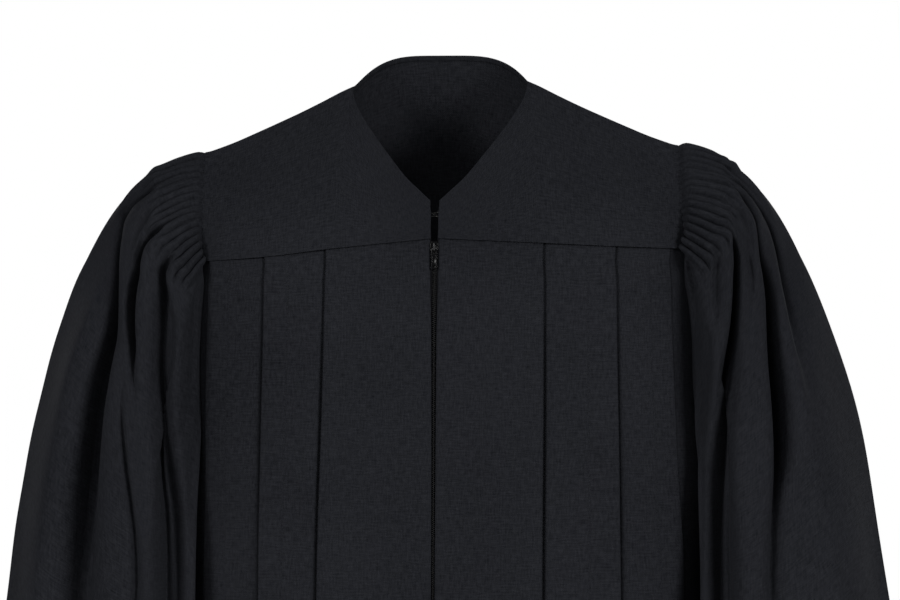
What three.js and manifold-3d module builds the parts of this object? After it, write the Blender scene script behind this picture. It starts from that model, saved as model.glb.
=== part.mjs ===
// A graduation gown as it hangs when worn, with nobody inside. Millimetres, +Z up, the front faces -Y.
// The origin lies between the two side neck points, where the wearer's shoulders carry the gown.
// "right" is the wearer's right, on -X, and "left" the wearer's left, on +X.
// A drop is a distance below the origin.
import * as THREE from "three";
import { mergeVertices } from "three/addons/utils/BufferGeometryUtils.js";
import Module from "manifold-3d";

const wasm = await Module();
wasm.setup();

// Driving dimensions
const CLOTH = 1; // thickness of the gown's cloth
const SEAM_GAP = 0.3; // air between two pieces that are sewn edge to edge
const UNDERARM_DROP = 370;
const CUFF_DROP = 718;
const HEM_DROP = 1365;
const SIDE_NECK = 86; // from the centre to each side neck point
const NECK_BACK = 78; // the back of the neck hole, behind the origin
const NECK_RIM_RISE = 36; // height of the back neck above the origin
const NECK_RIM_POWER = 3.3; // how level the rim stays before it drops to the side neck points
const NECK_CORNER_SPREAD = 0.2; // of a yoke's width, over which the corner at the side neck point softens
const SIDE_NECK_SETBACK = 8; // the side neck points lie this far behind the origin
const SHOULDER_SETBACK = 3; // and the shoulder points this far
const CENTRE_SEAM_DROP = 149.5; // the front yoke seam at the centre
const BACK_SEAM_DROP = 156; // and the back one
const ZIP_TOP_DROP = 135;
const SLIDER_DROP = 158; // the middle of the slider, which is at the top of the closed zip
const ZIP_END_DROP = 884;
const HOOK_DROP = 127;

// What differs between the two sides: the gown hangs a little wider and higher on the wearer's left.
const SIDES = {
  right: {
    name: "right", sign: -1, shoulder: 230, shoulderDrop: 64, neckLift: 1, corner: 224, cornerDrop: 171,
    wider: 0, cuffWider: 0, sleeveLap: 5,
    seamDrops: [{ x: 0, drop: 0 }, { x: 104, drop: 10.5 }, { x: 163, drop: 17.5 }, { x: 224, drop: 21.5 }],
    pleats: [
      { chest: 103.5, waist: 109.5, hemShare: 0.27 }, { chest: 162.5, waist: 166.5, hemShare: 0.5 },
      { chest: 218, waist: 222, hemShare: 0.75 },
    ],
  },
  left: {
    name: "left", sign: 1, shoulder: 232, shoulderDrop: 58, neckLift: 6, corner: 237, cornerDrop: 159,
    wider: 8, cuffWider: 14, sleeveLap: 20,
    seamDrops: [{ x: 0, drop: 0 }, { x: 104, drop: 4.5 }, { x: 172, drop: 7.5 }, { x: 237, drop: 9.5 }],
    pleats: [
      { chest: 103.5, waist: 102.5, hemShare: 0.26 }, { chest: 172, waist: 176, hemShare: 0.49 },
      { chest: 229, waist: 236, hemShare: 0.76 },
    ],
  },
};

// Level sections of the torso: half width, reach in front and behind, and how square the curve is.
const TORSO = [
  { drop: 140, half: 248, front: 110, back: 106, power: 3 },
  { drop: 250, half: 253, front: 121, back: 118, power: 3 },
  { drop: UNDERARM_DROP, half: 258, front: 130, back: 128, power: 3 },
  { drop: 450, half: 255, front: 138, back: 138, power: 2.9 },
  { drop: 550, half: 255, front: 149, back: 151, power: 2.8 },
  { drop: 720, half: 266, front: 171, back: 176, power: 2.6 },
  { drop: 1000, half: 313, front: 214, back: 222, power: 2.3 },
  { drop: HEM_DROP, half: 382, front: 268, back: 282, power: 2.1 },
];
// The armhole below the yoke: how much of the way its edge has come from the yoke's corner to the side seam.
const ARMHOLE = [
  { drop: 171, share: 0 }, { drop: 190, share: 0.04 }, { drop: 215, share: 0.12 },
  { drop: 250, share: 0.26 }, { drop: 290, share: 0.45 }, { drop: 325, share: 0.66 },
  { drop: 352, share: 0.86 }, { drop: UNDERARM_DROP, share: 1 },
];
// The neck edge seen from the front, from a side neck point to the foot of the V.
const NECK_EDGE = [
  { share: 0, x: SIDE_NECK, drop: 0 }, { share: 0.1, x: 83.5, drop: 12 }, { share: 0.25, x: 76, drop: 27 },
  { share: 0.4, x: 64, drop: 45 }, { share: 0.62, x: 44.5, drop: 71 }, { share: 0.8, x: 28, drop: 91.5 },
  { share: 0.92, x: 13.5, drop: 106 }, { share: 1, x: 4.6, drop: 114 },
];
// The shoulder line from the side neck point to the armhole, as a share of the shoulder point's drop.
const SHOULDER_LINE = [
  { share: 0, fall: 0 }, { share: 0.07, fall: 0.07 }, { share: 0.2, fall: 0.22 }, { share: 0.34, fall: 0.375 },
  { share: 0.5, fall: 0.54 }, { share: 0.65, fall: 0.69 }, { share: 0.81, fall: 0.845 }, { share: 1, fall: 1 },
];
// Half of the opening between the two front edges, which shows the zip.
const FRONT_GAP = [
  { drop: 120, half: 4.3 }, { drop: 178, half: 4.1 }, { drop: 240, half: 2.6 }, { drop: 420, half: 1.9 },
  { drop: 800, half: 1.4 }, { drop: 900, half: 0.2 },
];
// How the knife pleats open on the way down: 0 is pressed flat, 1 is a soft wave at the hem.
const PLEAT_OPENING = [
  { drop: 150, open: 0 }, { drop: 560, open: 0.02 }, { drop: 720, open: 0.14 }, { drop: 900, open: 0.42 },
  { drop: 1100, open: 0.74 }, { drop: HEM_DROP, open: 1 },
];
// A pleat turns back under itself by "under", with air between its layers. Open at the hem, its valley lies
// hemReach from its crest and hemDepth deep, and its corners are rounded over hemRound.
const PLEAT = { under: 26, air: 0.8, hemReach: 52, hemDepth: 42, hemRound: 10, hemShoulder: 5, waistDrop: 514 };
// The sleeve's lines from the armhole to the cuff. w runs from the underarm up the front to the shoulder point.
// A line leaves in the given direction, for a reach, and ends at a place on the cuff.
const SLEEVE_LINES = [
  { w: 0, out: 0.36, forward: 0, down: 0.93, reach: 60,
    cuffOut: 284, cuffForward: 0, lean: 0, lap: 0 },
  { w: 0.08, out: 0.4, forward: 0.25, down: 0.88, reach: 60,
    cuffOut: 276, cuffForward: 58, lean: 0, lap: 0.1 },
  { w: 0.16, out: 0.3, forward: 0.64, down: 0.7, reach: 62,
    cuffOut: 256, cuffForward: 112, lean: 0, lap: 0.6 },
  { w: 0.24, out: 0.16, forward: 0.76, down: 0.6, reach: 68,
    cuffOut: 246, cuffForward: 148, lean: 0.02, lap: 1 },
  { w: 0.32, out: 0.5, forward: 0.66, down: 0.5, reach: 85,
    cuffOut: 292, cuffForward: 164, lean: 0.04, lap: 0.6 },
  { w: 0.41, out: 0.86, forward: 0.26, down: 0.34, reach: 135,
    cuffOut: 392, cuffForward: 128, lean: 0.1, lap: 0.1 },
  { w: 0.5, out: 0.96, forward: 0, down: 0.28, reach: 180,
    cuffOut: 455, cuffForward: 0, lean: 0.14, lap: 0 },
];
const HEAD_PUFF = [
  { along: 0, puff: 0 }, { along: 0.06, puff: 3.5 }, { along: 0.14, puff: 6 }, { along: 0.3, puff: 0 },
];
const YOKE_CORNER_W = 0.32;
const SHOULDER_W = 0.5;
const CUFF_RISE = { in: 150, out: 300 }; // how far above the cuff a line already hangs straight
const CUFF_BACK = 0.86; // the cuff's reach behind, as a share of its reach in front
// The seam planes round the armhole: the tilt of the direction that crosses the seam, in degrees above level.
const SEAM_TILT = [{ w: 0, tilt: 50 }, { w: 0.16, tilt: 12 }, { w: 0.32, tilt: 0 }, { w: 0.5, tilt: -20 }];
// Flutes: rounded ridges with sharp valleys, drawn up where the sleeve and the back meet the yoke.
const SLEEVE_FLUTES = 32;
const BACK_FLUTES = 30;
const BACK_FLUTED_SHARE = 0.82; // of the back yoke's width
const BACK_YOKE_SHARE = 0.77; // the yoke's half width, as a share of the way to the side seam
const SLEEVE_FLUTE_HEIGHT = [
  { along: 0, height: 1.4 }, { along: 0.035, height: 2.6 }, { along: 0.08, height: 3.4 },
  { along: 0.12, height: 3.2 }, { along: 0.17, height: 1 }, { along: 0.22, height: 0 },
];
const BACK_FLUTE_HEIGHT = [
  { drop: 150, height: 1.4 }, { drop: 190, height: 3 }, { drop: 225, height: 3.4 }, { drop: 260, height: 2 },
  { drop: 300, height: 0 },
];
// Large folds of the sleeves. A fold starts among the flutes, at the seam place w0, and its valley moves to w as it
// falls. half is the valley's half width, in w, and depth its depth.
const SLEEVE_FOLDS = {
  right: {
    front: [
      { w0: 0.366, rows: [
        { along: 0.1, w: 0.366, half: 0.006, depth: 0 },
        { along: 0.14, w: 0.36, half: 0.009, depth: 8 },
        { along: 0.22, w: 0.336, half: 0.018, depth: 16 },
        { along: 0.35, w: 0.3, half: 0.03, depth: 22 },
        { along: 0.48, w: 0.262, half: 0.03, depth: 22 },
        { along: 0.65, w: 0.25, half: 0.03, depth: 16 },
        { along: 1, w: 0.24, half: 0.03, depth: 14 },
      ] },
      { w0: 0.412, rows: [
        { along: 0.08, w: 0.412, half: 0.005, depth: 0 },
        { along: 0.16, w: 0.408, half: 0.008, depth: 10 },
        { along: 0.21, w: 0.396, half: 0.01, depth: 13 },
        { along: 0.26, w: 0.378, half: 0.011, depth: 12 },
        { along: 0.36, w: 0.355, half: 0.012, depth: 8 },
        { along: 0.5, w: 0.339, half: 0.013, depth: 10 },
        { along: 0.7, w: 0.33, half: 0.016, depth: 14 },
        { along: 1, w: 0.325, half: 0.02, depth: 18 },
      ] },
      { w0: 0.474, rows: [
        { along: 0.09, w: 0.474, half: 0.005, depth: 0 },
        { along: 0.16, w: 0.474, half: 0.008, depth: 11 },
        { along: 0.22, w: 0.443, half: 0.012, depth: 20 },
        { along: 0.28, w: 0.403, half: 0.014, depth: 27 },
        { along: 0.36, w: 0.391, half: 0.016, depth: 30 },
        { along: 0.5, w: 0.385, half: 0.021, depth: 28 },
        { along: 1, w: 0.385, half: 0.03, depth: 26 },
      ] },
      { w0: 0.488, rows: [
        { along: 0.12, w: 0.488, half: 0.006, depth: 0 },
        { along: 0.24, w: 0.487, half: 0.01, depth: 4 },
        { along: 0.32, w: 0.478, half: 0.014, depth: 3 },
        { along: 0.5, w: 0.45, half: 0.018, depth: 1 },
        { along: 0.72, w: 0.446, half: 0.02, depth: 9 },
        { along: 1, w: 0.447, half: 0.022, depth: 18 },
      ] },
    ],
    back: [
      { w0: 0.362, rows: [
        { along: 0.1, w: 0.362, half: 0.006, depth: 0 },
        { along: 0.2, w: 0.346, half: 0.014, depth: 10 },
        { along: 0.4, w: 0.296, half: 0.026, depth: 18 },
        { along: 0.65, w: 0.262, half: 0.028, depth: 15 },
        { along: 1, w: 0.25, half: 0.028, depth: 12 },
      ] },
      { w0: 0.424, rows: [
        { along: 0.08, w: 0.424, half: 0.006, depth: 0 },
        { along: 0.17, w: 0.414, half: 0.01, depth: 12 },
        { along: 0.3, w: 0.376, half: 0.014, depth: 22 },
        { along: 0.5, w: 0.346, half: 0.018, depth: 22 },
        { along: 1, w: 0.332, half: 0.024, depth: 22 },
      ] },
      { w0: 0.468, rows: [
        { along: 0.1, w: 0.468, half: 0.006, depth: 0 },
        { along: 0.18, w: 0.464, half: 0.009, depth: 10 },
        { along: 0.3, w: 0.436, half: 0.015, depth: 20 },
        { along: 0.55, w: 0.41, half: 0.02, depth: 20 },
        { along: 1, w: 0.406, half: 0.027, depth: 24 },
      ] },
    ],
  },
  left: {
    front: [
      { w0: 0.394, rows: [
        { along: 0.1, w: 0.394, half: 0.006, depth: 0 },
        { along: 0.17, w: 0.386, half: 0.008, depth: 13 },
        { along: 0.23, w: 0.364, half: 0.01, depth: 25 },
        { along: 0.29, w: 0.347, half: 0.016, depth: 28 },
        { along: 0.36, w: 0.324, half: 0.024, depth: 27 },
        { along: 0.5, w: 0.316, half: 0.026, depth: 24 },
        { along: 1, w: 0.3, half: 0.026, depth: 18 },
      ] },
      { w0: 0.47, rows: [
        { along: 0.07, w: 0.47, half: 0.005, depth: 0 },
        { along: 0.12, w: 0.468, half: 0.007, depth: 9 },
        { along: 0.17, w: 0.452, half: 0.009, depth: 16 },
        { along: 0.24, w: 0.422, half: 0.012, depth: 26 },
        { along: 0.31, w: 0.401, half: 0.015, depth: 29 },
        { along: 0.4, w: 0.384, half: 0.018, depth: 28 },
        { along: 0.52, w: 0.376, half: 0.018, depth: 22 },
        { along: 1, w: 0.36, half: 0.022, depth: 20 },
      ] },
      { w0: 0.488, rows: [
        { along: 0.09, w: 0.488, half: 0.005, depth: 0 },
        { along: 0.15, w: 0.484, half: 0.008, depth: 7 },
        { along: 0.22, w: 0.47, half: 0.01, depth: 11 },
        { along: 0.3, w: 0.454, half: 0.013, depth: 9 },
        { along: 0.42, w: 0.426, half: 0.015, depth: 4 },
        { along: 0.56, w: 0.411, half: 0.018, depth: 7 },
        { along: 0.7, w: 0.412, half: 0.022, depth: 14 },
        { along: 1, w: 0.428, half: 0.028, depth: 22 },
      ] },
    ],
    back: [
      { w0: 0.37, rows: [
        { along: 0.1, w: 0.37, half: 0.006, depth: 0 },
        { along: 0.2, w: 0.352, half: 0.013, depth: 12 },
        { along: 0.4, w: 0.31, half: 0.024, depth: 20 },
        { along: 0.65, w: 0.282, half: 0.026, depth: 16 },
        { along: 1, w: 0.268, half: 0.026, depth: 12 },
      ] },
      { w0: 0.436, rows: [
        { along: 0.08, w: 0.436, half: 0.006, depth: 0 },
        { along: 0.16, w: 0.428, half: 0.009, depth: 11 },
        { along: 0.28, w: 0.396, half: 0.014, depth: 21 },
        { along: 0.5, w: 0.364, half: 0.019, depth: 24 },
        { along: 1, w: 0.352, half: 0.025, depth: 24 },
      ] },
      { w0: 0.477, rows: [
        { along: 0.1, w: 0.477, half: 0.006, depth: 0 },
        { along: 0.18, w: 0.472, half: 0.009, depth: 8 },
        { along: 0.32, w: 0.45, half: 0.014, depth: 16 },
        { along: 0.6, w: 0.424, half: 0.019, depth: 16 },
        { along: 1, w: 0.42, half: 0.026, depth: 22 },
      ] },
    ],
  },
};
// Folds of the back panel: the valley's place as a share of the way from the centre to the side seam.
const BACK_FOLDS = [
  { at: -0.83, half: 0.07, from: 330, depth: 30 }, { at: -0.61, half: 0.065, from: 260, depth: 36 },
  { at: -0.39, half: 0.07, from: 240, depth: 34 }, { at: -0.18, half: 0.06, from: 250, depth: 38 },
  { at: 0.03, half: 0.065, from: 230, depth: 34 }, { at: 0.24, half: 0.06, from: 250, depth: 38 },
  { at: 0.44, half: 0.07, from: 240, depth: 34 }, { at: 0.65, half: 0.065, from: 270, depth: 36 },
  { at: 0.85, half: 0.07, from: 330, depth: 28 },
];

const BACK_FOLD_AT_WAIST = 0.45; // of a back fold's depth, the share that it has by the waist

const point = (x, y, z) => new THREE.Vector3(x, y, z);
const mix = THREE.MathUtils.lerp;
const radians = THREE.MathUtils.degToRad;
const smooth = THREE.MathUtils.smoothstep;

// A smooth value that follows one column of a table and never overshoots its rows.
function follow(rows, key, column) {
  const slope = (i) => (rows[i + 1][column] - rows[i][column]) / (rows[i + 1][key] - rows[i][key]);
  const last = rows.length - 1;
  const slopes = rows.map((_, i) => {
    if (i === 0) return slope(0);
    if (i === last) return slope(last - 1);
    const before = slope(i - 1);
    const after = slope(i);
    return before * after <= 0 ? 0 : (2 * before * after) / (before + after);
  });
  return (at) => {
    if (at <= rows[0][key]) return rows[0][column];
    if (at >= rows[last][key]) return rows[last][column];
    const i = rows.findIndex((row) => row[key] > at) - 1;
    const width = rows[i + 1][key] - rows[i][key];
    const t = (at - rows[i][key]) / width;
    const [t2, t3] = [t * t, t * t * t];
    return (2 * t3 - 3 * t2 + 1) * rows[i][column] + (t3 - 2 * t2 + t) * width * slopes[i]
      + (3 * t2 - 2 * t3) * rows[i + 1][column] + (t3 - t2) * width * slopes[i + 1];
  };
}

function columnsOf(rows, key, columns) {
  const made = columns.map((column) => [column, follow(rows, key, column)]);
  return (at) => Object.fromEntries(made.map(([column, value]) => [column, value(at)]));
}

const torsoAt = columnsOf(TORSO, "drop", ["half", "front", "back", "power"]);
const armholeShare = follow(ARMHOLE, "drop", "share");
const neckEdgeAt = columnsOf(NECK_EDGE, "share", ["x", "drop"]);
const shoulderFall = follow(SHOULDER_LINE, "share", "fall");
const frontGap = follow(FRONT_GAP, "drop", "half");
const pleatOpening = follow(PLEAT_OPENING, "drop", "open");
const sleeveLineAt = columnsOf(SLEEVE_LINES, "w",
  ["out", "forward", "down", "reach", "cuffOut", "cuffForward", "lean", "lap"]);
const headPuff = follow(HEAD_PUFF, "along", "puff");
const seamTilt = follow(SEAM_TILT, "w", "tilt");
const sleeveFluteHeight = follow(SLEEVE_FLUTE_HEIGHT, "along", "height");
const backFluteHeight = follow(BACK_FLUTE_HEIGHT, "drop", "height");

// The torso

const SECTION_STEPS = 120;

// One level section from the centre (distance 0) to the side seam (distance length), for the front or the back.
function torsoSection(side, drop, face) {
  const { half, front, back, power } = torsoAt(drop);
  const wide = half + side.wider * (1 - smooth(drop, 500, HEM_DROP));
  const deep = face === "front" ? -front : back;
  const places = Array.from({ length: SECTION_STEPS + 1 }, (_, i) => {
    const angle = (Math.PI / 2) * (i / SECTION_STEPS);
    return new THREE.Vector2(wide * Math.sin(angle) ** (2 / power), deep * Math.cos(angle) ** (2 / power));
  });
  const distances = [0];
  places.slice(1).forEach((place, i) => distances.push(distances[i] + place.distanceTo(places[i])));
  const length = distances[SECTION_STEPS];
  const step = (value, list) => Math.min(SECTION_STEPS - 1, Math.max(0, list.findIndex((d) => d > value) - 1));
  const at = (distance, depth = 0) => {
    const i = distance >= length ? SECTION_STEPS - 1 : step(distance, distances);
    const along = places[i + 1].clone().sub(places[i]);
    const share = (distance - distances[i]) / (distances[i + 1] - distances[i]);
    const inward = new THREE.Vector2(along.y, -along.x).normalize().multiplyScalar(face === "front" ? -1 : 1);
    const place = places[i].clone().addScaledVector(along, share).addScaledVector(inward, depth);
    return point(side.sign * place.x, place.y, -drop);
  };
  const distanceAtX = (x) => {
    if (x >= wide) return length;
    const i = step(x, places.map((place) => place.x));
    return mix(distances[i], distances[i + 1], (x - places[i].x) / (places[i + 1].x - places[i].x));
  };
  return { length, at, distanceAtX };
}

const frontSeamDrop = (side, x) => CENTRE_SEAM_DROP + follow(side.seamDrops, "x", "drop")(x);
const backSeamDrop = (side, x) => mix(BACK_SEAM_DROP, side.cornerDrop, smooth(x, 0, side.corner));

// How far along a level section the cloth's side edge lies: the armhole, or the side seam below the underarm.
function edgeDistance(side, drop, face) {
  const section = torsoSection(side, drop, face);
  if (drop >= UNDERARM_DROP) return section.length;
  const top = torsoSection(side, side.cornerDrop, face);
  const inset = top.length - top.distanceAtX(side.corner);
  return section.length - inset * (1 - armholeShare(Math.max(drop, ARMHOLE[0].drop)));
}

function armholeDrops(side) {
  return [side.cornerDrop, ...ARMHOLE.slice(1).map((row) => row.drop)];
}

// A point of the armhole below the yoke, on the front or the back.
function lowArmhole(side, drop, face) {
  return torsoSection(side, drop, face).at(edgeDistance(side, drop, face));
}

// The yoke, which is one surface over the shoulders

function bezier(a, b, c, d, t) {
  const s = 1 - t;
  return a.clone().multiplyScalar(s * s * s).addScaledVector(b, 3 * s * s * t)
    .addScaledVector(c, 3 * s * t * t).addScaledVector(d, t * t * t);
}

const NECK_SHARE = 0.42; // of a yoke's width, the part that ends at the neck
const YOKE_FOOT = 4.2; // from the centre to the foot of a front yoke's inner edge
const CHEST_PITCH = 48; // how steeply the front leaves the shoulder line, in degrees
const BACK_PITCH = { centre: 76, shoulder: 36 }; // and how steeply the back does
const YOKE_REACH = 0.36; // how stiffly a yoke's lines keep their end directions
const UP_AT_FRONT_SEAM = new THREE.Vector3(0, 0.16, 0.987); // the way the cloth runs up from the yoke seam
const UP_AT_BACK_SEAM = new THREE.Vector3(0, -0.16, 0.987);
const NECK_CURVE = { x: 0.85, y: 0.9 }; // how round the neck hole is behind; 1 is an ellipse
const SHOULDER_CROWN = 12; // how far the shoulder line would rise on its way to the centre

function shoulderPoint(side, share) {
  const fall = mix(-side.neckLift, side.shoulderDrop, shoulderFall(share));
  const setback = mix(SIDE_NECK_SETBACK, SHOULDER_SETBACK, share);
  return point(side.sign * mix(SIDE_NECK, side.shoulder, share), setback, -fall);
}

// The shoulder line at a distance from the centre, carried on through the neck hole.
function ridgePoint(side, x) {
  if (x >= SIDE_NECK) return shoulderPoint(side, (x - SIDE_NECK) / (side.shoulder - SIDE_NECK));
  const rise = side.neckLift + SHOULDER_CROWN * (1 - (x / SIDE_NECK) ** 2);
  return point(side.sign * x, SIDE_NECK_SETBACK, rise);
}

// The point of the chest at a distance from the centre and a height.
function chestPoint(side, x, z) {
  const top = ridgePoint(side, x);
  const section = torsoSection(side, frontSeamDrop(side, x), "front");
  const foot = section.at(section.distanceAtX(x));
  const pitch = radians(CHEST_PITCH);
  const reach = Math.hypot(top.y - foot.y, top.z - foot.z) * YOKE_REACH;
  const leave = top.clone().add(point(0, -Math.cos(pitch), -Math.sin(pitch)).multiplyScalar(reach));
  const arrive = foot.clone().addScaledVector(UP_AT_FRONT_SEAM, reach);
  let [low, high] = [0, 1];
  while (high - low > 1e-5) {
    const half = (low + high) / 2;
    if (bezier(top, leave, arrive, foot, half).z > z) low = half;
    else high = half;
  }
  return point(side.sign * x, bezier(top, leave, arrive, foot, (low + high) / 2).y, z);
}

// A point of the front yoke: across runs from the centre to the armhole, and down from the top edge to the seam.
function frontYokePoint(side, across, down) {
  const onNeck = across < NECK_SHARE;
  const neckShare = 1 - across / NECK_SHARE;
  const edge = neckEdgeAt(neckShare);
  const top = onNeck ? point(side.sign * edge.x, 0, side.neckLift * (1 - neckShare) ** 2 - edge.drop)
    : shoulderPoint(side, (across - NECK_SHARE) / (1 - NECK_SHARE));
  const x = mix(Math.abs(top.x), mix(YOKE_FOOT, side.corner, across), down);
  return chestPoint(side, x, mix(top.z, -frontSeamDrop(side, x), down));
}

// The back yoke's top edge on one side: the rim of the neck hole, then the shoulder line.
function backTop(side, across) {
  if (across >= NECK_SHARE) return shoulderPoint(side, (across - NECK_SHARE) / (1 - NECK_SHARE));
  const angle = (Math.PI / 2) * (Math.abs(across) / NECK_SHARE);
  const out = Math.sign(across || 1) * SIDE_NECK * Math.sin(angle) ** NECK_CURVE.x;
  const fall = Math.sin(angle) ** NECK_RIM_POWER;
  return point(side.sign * out, mix(SIDE_NECK_SETBACK, NECK_BACK, Math.cos(angle) ** NECK_CURVE.y),
    mix(NECK_RIM_RISE, side.neckLift, fall));
}

// A point of the back yoke, on one side. The corner at the side neck point softens on the way down.
function backYokePoint(side, across, down) {
  const inside = smooth(across, 0, 0.2) * smooth(1 - across, 0, 0.25);
  const spread = NECK_CORNER_SPREAD * Math.min(1, down * 2.2) * inside;
  const offsets = [-1, -0.6, -0.2, 0.2, 0.6, 1];
  const top = offsets.reduce((sum, offset) => sum.add(backTop(side, across + offset * spread)), point(0, 0, 0))
    .multiplyScalar(1 / offsets.length);
  const x = side.corner * across;
  const section = torsoSection(side, backSeamDrop(side, x), "back");
  const foot = section.at(section.distanceAtX(x));
  const pitch = radians(mix(BACK_PITCH.centre, BACK_PITCH.shoulder, smooth(across, 0, 0.85)));
  const reach = top.distanceTo(foot) * YOKE_REACH;
  const leave = top.clone().add(point(0, Math.cos(pitch), -Math.sin(pitch)).multiplyScalar(reach));
  const arrive = foot.clone().addScaledVector(UP_AT_BACK_SEAM, reach);
  return bezier(top, leave, arrive, foot, down);
}

// The whole armhole: w is 0 at the underarm, 0.5 at the shoulder point and 1 at the underarm again.
function armholePoint(side, w) {
  const up = w <= SHOULDER_W ? w : 1 - w;
  const yokePoint = w <= SHOULDER_W ? frontYokePoint : backYokePoint;
  if (up >= YOKE_CORNER_W) return yokePoint(side, 1, (SHOULDER_W - up) / (SHOULDER_W - YOKE_CORNER_W));
  const drops = armholeDrops(side).reverse();
  const rows = drops.map((drop, i) => ({ w: (YOKE_CORNER_W * i) / (drops.length - 1), drop }));
  return lowArmhole(side, follow(rows, "w", "drop")(up), w <= SHOULDER_W ? "front" : "back");
}

// The direction that crosses the armhole seam, away from the body.
function acrossArmhole(side, w) {
  const tilt = radians(seamTilt(Math.min(w, 1 - w)));
  return point(side.sign * Math.cos(tilt), 0, Math.sin(tilt));
}

// Cloth as closed walls

const corner = (position, across = [], inner = null) => ({ position, across, inner });

// Moves a seam's point back from the seam and notes which ways its wall must not lean.
function seamCorner(position, directions) {
  const moved = position.clone();
  directions.forEach((direction) => moved.addScaledVector(direction, -SEAM_GAP / 2));
  return corner(moved, directions);
}

// Triangles between two rows of corners, whose places along the row may differ.
function stitch(faces, upper, upperStart, lower, lowerStart, closed) {
  const place = (row, i) => (i < row.places.length ? row.places[i] : row.places[i - row.places.length] + 1);
  const index = (row, start, i) => start + (i % row.places.length);
  const ends = [upper, lower].map((row) => row.places.length - (closed ? 0 : 1));
  let [i, j] = [0, 0];
  while (i < ends[0] || j < ends[1]) {
    const [a, b] = [index(upper, upperStart, i), index(lower, lowerStart, j)];
    if (j >= ends[1] || (i < ends[0] && place(upper, i + 1) <= place(lower, j + 1))) {
      faces.push([a, b, index(upper, upperStart, i + 1)]);
      i += 1;
    } else {
      faces.push([a, b, index(lower, lowerStart, j + 1)]);
      j += 1;
    }
  }
}

// The back of the cloth: each point moved in by the cloth's thickness, square to the faces round it.
function innerSide(corners, faces) {
  const normals = corners.map(() => point(0, 0, 0));
  const around = corners.map(() => []);
  faces.forEach((face) => {
    const [a, b, c] = face.map((i) => corners[i].position);
    const normal = b.clone().sub(a).cross(c.clone().sub(a)).normalize();
    face.forEach((i, k) => {
      const [here, next, last] = [0, 1, 2].map((turn) => corners[face[(k + turn) % 3]].position);
      const angle = next.clone().sub(here).angleTo(last.clone().sub(here));
      normals[i].addScaledVector(normal, angle);
      around[i].push(normal);
    });
  });
  return corners.map(({ position, across, inner }, i) => {
    if (inner) return inner;
    const inward = normals[i].normalize();
    const tightest = Math.max(0.6, Math.min(...around[i].map((normal) => normal.dot(inward))));
    across.forEach((direction) => inward.addScaledVector(direction, -inward.dot(direction)));
    return position.clone().addScaledVector(inward.normalize(), -CLOTH / tightest);
  });
}

// A closed wall of cloth from rows of corners on its face side. turned says that they run the other way round.
function clothWall(rows, { closed = false, turned = false } = {}) {
  const corners = [];
  const starts = rows.map((row) => corners.push(...row.corners) - row.corners.length);
  const faces = [];
  rows.slice(1).forEach((row, i) => stitch(faces, rows[i], starts[i], row, starts[i + 1], closed));
  if (turned) faces.forEach((face) => face.reverse());
  const inner = innerSide(corners, faces);
  const count = corners.length;
  const directed = new Set(faces.flatMap(([a, b, c]) => [`${a},${b}`, `${b},${c}`, `${c},${a}`]));
  const edges = [...directed].map((edge) => edge.split(",").map(Number));
  const rim = edges.filter(([a, b]) => !directed.has(`${b},${a}`))
    .flatMap(([a, b]) => [[b, a, a + count], [b, a + count, b + count]]);
  const back = faces.map(([a, b, c]) => [c + count, b + count, a + count]);
  const geometry = new THREE.BufferGeometry();
  const positions = [...corners.map((item) => item.position), ...inner].flatMap((place) => place.toArray());
  geometry.setAttribute("position", new THREE.Float32BufferAttribute(positions, 3));
  geometry.setIndex([...faces, ...back, ...rim].flat());
  return geometry;
}

const row = (places, corners) => ({ places, corners });
const steps = (count, from = 0, to = 1) => Array.from({ length: count + 1 }, (_, i) => mix(from, to, i / count));

// The yokes

const FRONT_YOKE_NECK = [0, 0.1, 0.24, 0.42, 0.62, 0.78, 0.9, 1];
const YOKE_ROWS = 8;
const UP = point(0, 0, 1);
const DOWN = point(0, 0, -1);
const BACKWARD = point(0, 1, 0);
const FORWARD = point(0, -1, 0);

function frontYoke(side) {
  const across = [...FRONT_YOKE_NECK.map((share) => share * NECK_SHARE), ...steps(6, NECK_SHARE, 1).slice(1)];
  const rows = steps(YOKE_ROWS).map((down, i) => row(across, across.map((share) => {
    const ways = [];
    if (i === 0 && share >= NECK_SHARE) ways.push(BACKWARD);
    if (i === YOKE_ROWS) ways.push(DOWN);
    if (share === 1) ways.push(acrossArmhole(side, mix(SHOULDER_W, YOKE_CORNER_W, down)));
    return seamCorner(frontYokePoint(side, share, down), ways);
  })));
  return clothWall(rows, { turned: side.sign < 0 });
}

function backYoke() {
  const half = [...steps(7, 0, NECK_SHARE), ...steps(6, NECK_SHARE, 1).slice(1)];
  const across = [...half.slice(1).reverse().map((share) => -share), ...half];
  const rows = steps(YOKE_ROWS).map((down, i) => row(across, across.map((share) => {
    const side = share < 0 ? SIDES.right : SIDES.left;
    const ways = [];
    if (i === 0 && Math.abs(share) >= NECK_SHARE) ways.push(FORWARD);
    if (i === YOKE_ROWS) ways.push(DOWN);
    if (Math.abs(share) === 1) ways.push(acrossArmhole(side, mix(SHOULDER_W, YOKE_CORNER_W, down)));
    return seamCorner(backYokePoint(side, Math.abs(share), down), ways);
  })));
  return clothWall(rows, { turned: true });
}

// The fronts, with three knife pleats each

const BODY_DROPS = [450, 550, 680, 830, 1000, 1180, HEM_DROP];
const SEAM_PLACE_DROP = 165; // the level whose places a panel's top edge takes
const PANEL_DROPS = [SEAM_PLACE_DROP, ...ARMHOLE.slice(1).map((row) => row.drop), ...BODY_DROPS];

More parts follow.
